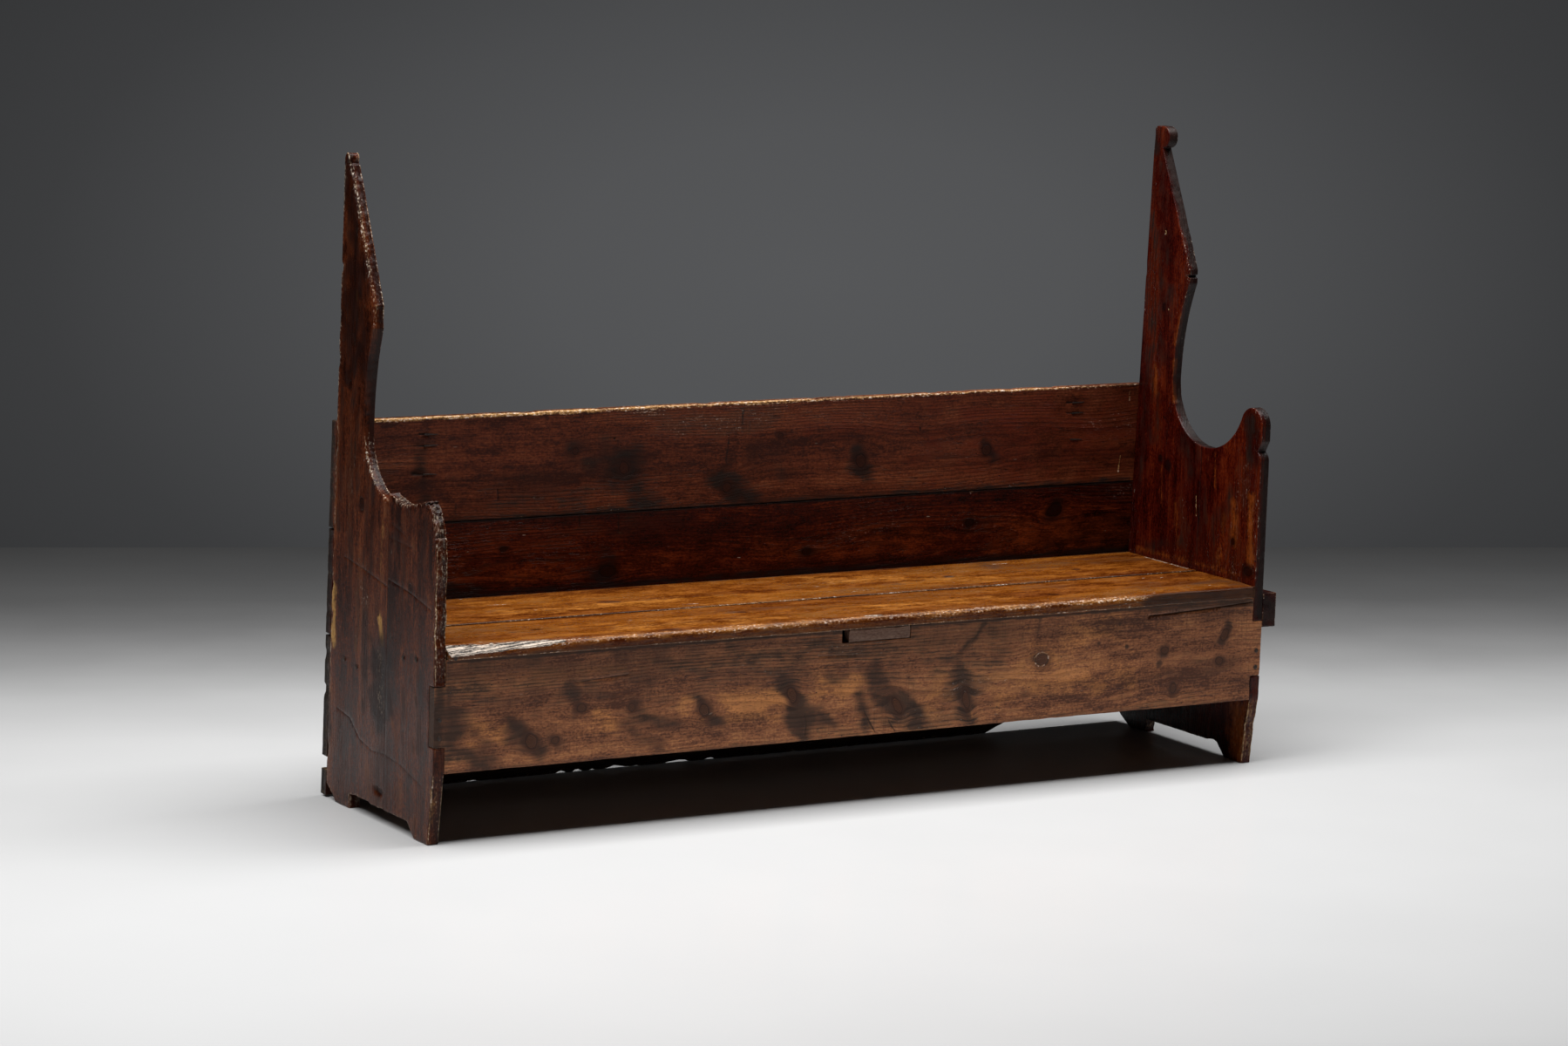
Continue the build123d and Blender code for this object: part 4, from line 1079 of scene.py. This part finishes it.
lid_marks = smudges_and_shadows(
    (0.5, 8, (DARK_NOSE - 60, -14), (DARK_NOSE + 40, -14)),
    (0.75, 10, (DARK_NOSE + 40, -13), (SEAT_REACH, -14)), (0.7, 9, (-520, 8), (-480, 6)),
    (0.45, 30, (-280, 160), (-120, 150)), (0.5, 12, (-250, 130)), (0.5, 10, (420, -2)),
    (0.35, 40, (-900, 120), (-780, 110)), (0.4, 30, (500, 150), (640, 165)),
    # The thin dark line at back 217, in the groove before the rear seat board, is painted shade
    (0.5, 50, (760, 100), (1000, 60)), (0.5, 8, (210, 60)), (0.95, 4, (-540, 217), (1018, 217)),
) + glows(
    # Glaze along back -9, on the lid's rounded nose, is partly a painted highlight
    (0.5, 8, (-700, -9), (DARK_NOSE - 20, -9)), (0.4, 40, (-600, 60), (-200, 50)),
    (0.4, 40, (50, 90), (400, 80)),
) + cracks(
    (2.0, 2.0, (-SEAT_REACH, 20), (-900, 13), (-800, 6), (-680, -4)), (1.2, 0.5, (-300, 92), (-120, 97)),
    (1.2, 0.5, (350, 122), (520, 117)),
# The rub along back -9 on the lid's nose is wear and partly a painted highlight
) + rubs_and_highlights((0.35, 8, 0, (-1010, -9), (DARK_NOSE - 20, -9))) + scars(
    (0.8, 3.5, 0.8, (-SEAT_REACH, 210), (-790, 213), (-560, 216)), (0.7, 2.5, 0.8, (-60, 210), (30, 211)),
    (0.6, 2, 0.6, (-420, 208), (-330, 210)), (0.6, 2.5, 0.8, (330, 211), (420, 210)),
    (0.5, 5, 0, (-22, -4), (20, -6)),
)
seat_marks = smudges_and_shadows(
    (0.8, 9, (-475, 346), (-440, 342)), (0.7, 12, (425, 355)),
    (0.8, 7, (-SEAT_REACH, 497), (SEAT_REACH, 497)),
    (0.4, 40, (-950, 420), (-800, 400)), (0.4, 40, (100, 300), (260, 310)),
    # The thin dark line at back 224, in the groove behind the lid, is painted shade
    (0.55, 60, (600, 420), (980, 400)), (0.9, 3, (-SEAT_REACH, 224), (SEAT_REACH, 224)),
    (0.5, 10, (-640, 300), (-600, 296)), (0.5, 9, (760, 330)),
) + glows((0.4, 50, (-700, 300), (-300, 310)), (0.4, 50, (100, 430), (500, 300))) + cracks(
    (1.3, 0.5, (-400, 332), (-180, 338)), (1.2, 0.5, (-980, 300), (-700, 308)),
) + scars(
    (0.6, 2, 0.8, (-720, 404), (-684, 398)), (0.65, 2, 0.8, (-320, 262), (-285, 258)),
    (0.65, 2, 0.8, (412, 348), (440, 356)), (0.7, 3, 0, (1014, 250), (1016, 420)),
    (0.55, 1.8, 0, (620, 462), (655, 460)), (0.6, 2.5, 0, (-SEAT_REACH, 300), (-900, 304)),
)
seat_knots = [Knot(-457, 344, 11, 6), Knot(427, 354, 12, 7), Knot(760, 330, 9, 6)]
lid_knots = [Knot(-500, 8, 10, 5), Knot(520, 70, 12, 8), Knot(-250, 130, 10, 6), Knot(-760, 110, 9, 6)]
low_knots = [Knot(-500, 200, 16, 11), Knot(420, 250, 16, 11)]
batten_marks = smudges_and_shadows((0.8, 70, (0, 350), (480, 350)))

# The boards, each with its seed: 1 to 4 are the ends, 14 and 15 the rear battens, 16 to 22 the box inside
boards = []
LEFT = ("end_left_wood", (-HALF, 0, 0), LEFT_ZONES, left_marks, left_knots)
RIGHT = ("end_right_wood", (INNER, 0, 0), RIGHT_ZONES, right_marks, right_knots)
END_PLANKS = [
    ("left_front_plank", LEFT, (90, 60)),
    ("left_rear_plank", LEFT, (380, 80)),
    ("right_front_plank", RIGHT, (130, 70)),
    ("right_rear_plank", RIGHT, (400, 60)),
]
for seed, (node, side, pith) in enumerate(END_PLANKS, 1):
    boards.append(end_piece(node, seed, pith, *side))
boards += [
    Board("front_board", "front_wood", (0, 0, 0), X, Z, Y, FRONT_T, 5, FLAT_EDGE, FRONT_ZONES, front_marks,
          front_knots, (230, 45), grid=8, step=6, raw=1.0),
    back_piece("upper_back_board", "back_upper_wood", 6, RUBBED_TOP, UPPER_ZONES, (690, 60), upper_marks,
               upper_knots),
    back_piece("middle_back_board", "back_middle_wood", 7, BLACK_SEAM, BACK_ZONES, (470, 60), middle_marks,
               middle_knots),
    back_piece("lower_back_board", "back_low_wood", 8, ROUGH_SAWN, BACK_ZONES, (220, 60), knots=low_knots),
    back_piece("bottom_back_strip", "back_low_wood", 9, STRIP_EDGE, STRIP_ZONES, (40, 40)),
    plain_piece("seat_rear_board", "seat_wood", X, Y, -Z, 10, SEAT_EDGE, marks=seat_marks, knots=seat_knots,
                pith=(360, 50), grid=10, wave=1.2, raw=1.0),
    plain_piece("seat_lid", "seat_wood", X, Y, -Z, 11, LID_EDGE, marks=lid_marks, knots=lid_knots,
                zones=LID_ZONES, pith=(110, 55), grid=9, wave=1.2, tear=lid_tear, raw=1.0),
    plain_piece("lock_patch", "patch_wood", X, Z, Y, 12, PATCH_EDGE, grid=6, step=4, pith=(370, 30)),
    plain_piece("right_outer_batten", "end_right_wood", Y, Z, -X, 13, BATTEN_EDGE, marks=batten_marks,
                grid=12, pith=(350, 30)),
]
CLEAT = {"grid": 24, "step": 10}
FLOORING = {"grid": 22, "step": 12}
INNER_PIECES = [
    ("left_seat_cleat", (Y, Z, -X), CLEAT),
    ("right_seat_cleat", (Y, Z, X), CLEAT),
    ("front_floor_board", (X, Y, -Z), FLOORING | {"pith": (120, 50)}),
    ("rear_floor_board", (X, Y, -Z), FLOORING | {"pith": (380, 50)}),
    ("left_floor_cleat", (Y, Z, -X), CLEAT),
    ("right_floor_cleat", (Y, Z, X), CLEAT),
    ("floor_bearer", (Y, X, -Z), CLEAT),
]
for seed, (node, axes, more) in enumerate(INNER_PIECES, 16):
    boards.append(plain_piece(node, "inner_wood", *axes, seed, **more))
rear = BACK_FOOT + (BACK_T + BATTEN_T) * OUT
for seed, (node, at) in enumerate((("left_rear_batten", -BATTEN_AT), ("right_rear_batten", BATTEN_AT)), 14):
    boards.append(Board(node, "inner_wood", rear, UP, X, -OUT, BATTEN_T, seed, pith=(at, 40), step=9))

body_of = {node: body for body, nodes in frame["record"]["behaviour"]["bodies"].items() for node in nodes}


def hand_over(piece, node, slot):
    """Give a piece its material, and put it in its node's place."""
    piece.data.materials.append(materials[slot])
    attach(piece, body_of[node])
    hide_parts(node)


for board in boards:
    hand_over(board.build(), board.node, board.slot)

# Iron: hand-made nails and the pins of the lid, in the places of their nodes
SIDES = 12                # corners of a ring of a nail or pin
HEAD_T = 2.0              # thickness of a nail's head
NECK = 2.6                # from the top of a nail to the start of its shank
SHANK_HALF = 2.0          # half width of the shank there
POINT_HALF = 0.9          # and at its point
TIP_T = 1.5               # thickness of a clenched point
DENT = 2.2                # size of the hammer's dents, where a ring has radius 3
HEAD_DENT = 0.22          # how deep they are on a head, as a share of its radius
PIN_DENT = 0.06           # and on a pin
CHAMFER = 1.2             # at the ends of a pin
BEND = 1.2                # how far a clenched point strays from level
# Rings of a head: height and share of the radius
HEAD_RINGS = [(2.0, 0.22), (1.8, 0.55), (1.2, 0.86), (0.4, 1.0), (0.0, 0.97), (-0.3, 0.6)]
# Rings of a clenched point: share of its length and half width
TIP_RINGS = [(0.0, 0.8), (0.06, 1.0), (0.35, 0.9), (0.7, 0.7), (0.95, 0.4), (1.0, 0.15)]
TURNS = np.arange(SIDES) * 2 * math.pi / SIDES
ROUND = np.column_stack((np.cos(TURNS), np.sin(TURNS)))
SQUARE = ROUND / np.abs(ROUND).max(1)[:, None]


def loose_parts(node):
    """Separate solids of a CAD node, as points in millimetres."""
    mesh = frame["nodes"][node].data
    places = np.array([vertex.co for vertex in mesh.vertices]) * 1000 - SHIFT
    same = np.unique(np.round(places, 2), axis=0, return_inverse=True)[1].ravel()
    ends = same[np.array([edge.vertices[:] for edge in mesh.edges])]
    group = np.arange(len(places))
    while True:
        lowest = group[ends].min(1)
        before = group.copy()
        np.minimum.at(group, ends[:, 0], lowest)
        np.minimum.at(group, ends[:, 1], lowest)
        if (group == before).all():
            break
    return [places[group[same] == label] for label in np.unique(group[same])]


def loft(rings):
    """Points and faces of a closed skin over rings of equal count."""
    count = len(rings[0])
    last = (len(rings) - 1) * count
    caps = [tuple(range(count))[::-1], tuple(range(last, last + count))]
    return np.concatenate(rings), caps + strip_faces(len(rings), count)


def dents(at, seed):
    """How far a hammered ring is beaten in at each of its corners, from 0 to 1."""
    return soft_noise(np.column_stack((ROUND * 3, np.full(SIDES, at))), DENT, seed)


def nail_rings(part, axis, seed):
    """Rings of one nail along its axis: hammered head, then a square shank that tapers."""
    along = part @ axis
    top = along.max()
    head = part[along > top - HEAD_T - 0.1]
    side = X if abs(axis[0]) < 0.5 else Y
    frame_axes = np.array((side, np.cross(axis, side)))
    spread = head @ frame_axes.T
    middle = (spread.min(0) + spread.max(0)) / 2
    radius = np.ptp(spread[:, 0]) / 2
    rings = []
    for height, share in HEAD_RINGS:
        flat = middle + ROUND * (radius * share * (1 - HEAD_DENT * dents(height, seed)))[:, None]
        rings.append(flat @ frame_axes + axis * (top - HEAD_T + height))
    for depth, half in ((top - NECK, SHANK_HALF), (along.min(), POINT_HALF)):
        rings.append((middle + SQUARE * half) @ frame_axes + axis * depth)
    return rings


def clench_rings(part, axis, seed):
    """Rings of a nail's bent point, which lies along the front of the back."""
    front = (part @ axis).min()
    up_here = np.cross(axis, X)
    level = part[part @ axis < front + TIP_T + 0.1]
    start, stop = level[:, 0].min(), level[:, 0].max()
    height = (level @ up_here).mean()
    rings = []
    for share, half in TIP_RINGS:
        lift = TIP_T * (0.5 + 0.5 * (1 - share ** 3))
        bend = BEND * math.sin(seed * 2.4 + share * 3.0) * share
        along = X * (start + share * (stop - start))
        centre = along + up_here * (height + bend) + axis * (front + TIP_T - lift / 2)
        rings.append(centre + SQUARE[:, :1] * up_here * 2.0 * half + SQUARE[:, 1:] * axis * lift / 2)
    return rings


def pin_rings(part, seed):
    """Rings of a round pin, with hammered ends."""
    start, stop = part[:, 0].min(), part[:, 0].max()
    middle = (part.min(0) + part.max(0)) / 2
    radius = np.ptp(part[:, 2]) / 2
    spots = (start, start + CHAMFER, (start + stop) / 2, stop - CHAMFER, stop)
    rings = []
    for at, share in zip(spots, (0.7, 1.0, 0.97, 1.0, 0.7)):
        reach = ROUND * (radius * share * (1 - PIN_DENT * dents(at, seed)))[:, None]
        rings.append(np.column_stack((np.full(SIDES, at), middle[1:] + reach)))
    return rings


def floor_nail_axis(part):
    """Nails of the box floor point down, or sideways into the ends."""
    if np.ptp(part[:, 2]) > np.ptp(part[:, 0]):
        return Z
    return -X * np.sign(part[:, 0].mean())


NAIL_AXES = {
    "tongue_nails": -Y, "back_nails": OUT, "seat_board_nails": OUT, "cleat_nails": -X,
    "outer_batten_nails": X, "clenched_nails": OUT, "batten_nails": OUT, "floor_nails": None,
    "lid_nail": -Y, "hinge_pins": X,
}
for node, axis in NAIL_AXES.items():
    points = []
    faces = []
    for seed, part in enumerate(loose_parts(node)):
        if node == "hinge_pins":
            skins = [pin_rings(part, seed)]
        else:
            skins = [nail_rings(part, floor_nail_axis(part) if axis is None else axis, seed)]
        if node == "clenched_nails":
            skins.append(clench_rings(part, axis, seed))
        for rings in skins:
            made, made_faces = loft(rings)
            offset = sum(len(group) for group in points)
            points.append(made)
            faces += [tuple(offset + i for i in face) for face in made_faces]
    piece = make_piece(node + "_iron", node + "_forged", (np.concatenate(points) + SHIFT) / 1000, faces)
    hand_over(piece, node, "forged_iron")
dowels = frame["nodes"]["plank_dowels"]
dowels.data.materials.clear()
dowels.data.materials.append(materials["inner_wood"])

# Camera, as the photo was taken, in metres and with the lens in millimetres
PHOTO_W = 1799            # pixels across the photo
SENSOR_W = 36.0
LENS = 102.714
CLIP_END = 60.0
CAMERA_AT = Vector((-5.0894, -8.3045, 2.1211))
CAMERA_YAW = math.radians(-31.05)
CAMERA_PITCH = math.radians(-9.026)
CAMERA_ROLL = math.radians(1.777)
camera_data = bpy.data.cameras.new("camera")
camera_data.sensor_fit = "HORIZONTAL"
camera_data.sensor_width = SENSOR_W
camera_data.lens = LENS
camera_data.clip_end = CLIP_END
camera = add_object("camera", camera_data)
turn = Matrix.Rotation(CAMERA_YAW, 4, "Z") @ Matrix.Rotation(math.pi / 2 + CAMERA_PITCH, 4, "X")
turn = turn @ Matrix.Rotation(CAMERA_ROLL, 4, "Z")
camera.matrix_world = Matrix.Translation(CAMERA_AT) @ turn
bpy.context.scene.camera = camera

# Stage: a grey backdrop, and a pale floor with painted shade that darkens it towards its far edge, level in
# the picture
HORIZON_PX = 28                      # the floor's far edge, below the middle of the photo
FAR_EDGE = HORIZON_PX / PHOTO_W * SENSOR_W / LENS
SIDE = 14.0                          # how far the floor goes on beside the picture
NEAR = 24.0                          # and towards the camera
# Grey of the floor by its share of FLOOR_SPAN from the far edge: a painted pool of light, brightest under
# the lamp, darker towards the far edge and towards the camera
FLOOR_GREY = [
    (0.0, 0.10), (0.09, 0.155), (0.13, 0.225), (0.18, 0.36), (0.225, 0.53), (0.28, 0.62), (0.55, 0.64),
    (0.8, 0.06),
]
FLOOR_SPAN = 9.6                     # distance from the far edge that these shares are counted in
FLOOR_ROUGH = 0.24
BACKDROP_MIDDLE = (0.006, 0.055)     # its brightest place, right of and above the middle of the picture
BACKDROP_SPREAD = (0.487, 0.268)     # how far its shares reach, across and up
BACKDROP_GREY = [(0.0, 0.095), (0.12, 0.088), (0.23, 0.070), (0.35, 0.046), (0.44, 0.037), (1.0, 0.012)]
BACKDROP_TINT = (0.98, 1.0, 1.04)
LIGHT_AT = Vector((-0.6, -0.35, 3.8))
LIGHT_TARGET = Vector((-0.6, -0.3, 0))
LIGHT_SIZE = (7.6, 2.0)
LIGHT_POWER = 440


def floor_point(across, down):
    """Place on the floor seen at a spot of the picture, measured from its middle in lens units."""
    ray = turn.to_3x3() @ Vector((across, -down, -1))
    return CAMERA_AT - ray * (CAMERA_AT.z / ray.z)


def pale_floor(start, forward):
    """Plain surface whose grey, painted light and shade, changes with the distance from its far edge."""
    n = Nodes(bpy.data.materials.new("pale_floor"))
    place = n.coordinates("Object")
    from_start = n.vector("SUBTRACT", place, start)
    share = n.measure("DOT_PRODUCT", from_start, forward / FLOOR_SPAN)
    cloud = n.noise(place, (2, 2, 2), 3)
    share = n.total((share, 1), (cloud, 0.02), -0.01)
    colour = n.ramp(share, tints((1, 1, 1), *FLOOR_GREY))
    return n.finish(colour, n.total((cloud, 0.1), FLOOR_ROUGH - 0.05), cloud, 0.02, 0.001)


def grey_backdrop(world, middle, across, upward):
    """Grey all round, brighter about one direction."""
    n = Nodes(world)
    ray = n.coordinates("Generated")
    off = n.vector("SUBTRACT", ray, middle)
    scaled = (across / BACKDROP_SPREAD[0], upward / BACKDROP_SPREAD[1], middle / BACKDROP_SPREAD[0])
    parts = {k: n.measure("DOT_PRODUCT", off, axis) for k, axis in enumerate(scaled)}
    joined = n.node("ShaderNodeCombineXYZ", {}, parts).outputs[0]
    colour = n.ramp(n.measure("LENGTH", joined), tints(BACKDROP_TINT, *BACKDROP_GREY))
    light = n.node("ShaderNodeBackground", {}, {"Color": colour, "Strength": 1.0})
    n.node("ShaderNodeOutputWorld", {}, {"Surface": light.outputs[0]})


half_view = SENSOR_W / 2 / LENS
far_left = floor_point(-half_view, FAR_EDGE)
far_right = floor_point(half_view, FAR_EDGE)
sideways = (far_right - far_left).normalized()
forward = sideways.cross(Vector((0, 0, 1)))
far_left = far_left - sideways * SIDE
far_right = far_right + sideways * SIDE
floor_mesh = bpy.data.meshes.new("floor")
corners = [far_left, far_right, far_right + forward * NEAR, far_left + forward * NEAR]
floor_mesh.from_pydata(corners, [], [(3, 2, 1, 0)])
floor_mesh.materials.append(pale_floor(far_left, forward))
floor = add_object("floor", floor_mesh)

light = bpy.data.lights.new("overhead", "AREA")
light.shape = "RECTANGLE"
light.size, light.size_y = LIGHT_SIZE
light.energy = LIGHT_POWER
lamp = add_object("overhead", light)
lamp.location = LIGHT_AT
lamp.rotation_euler = (LIGHT_TARGET - LIGHT_AT).to_track_quat("-Z", "Y").to_euler()

world = bpy.data.worlds.new("studio")
view = turn.to_3x3()
grey_backdrop(world, (view @ Vector((*BACKDROP_MIDDLE, -1))).normalized(), view.col[0], view.col[1])
bpy.context.scene.world = world
bpy.context.scene.view_settings.view_transform = "Standard"
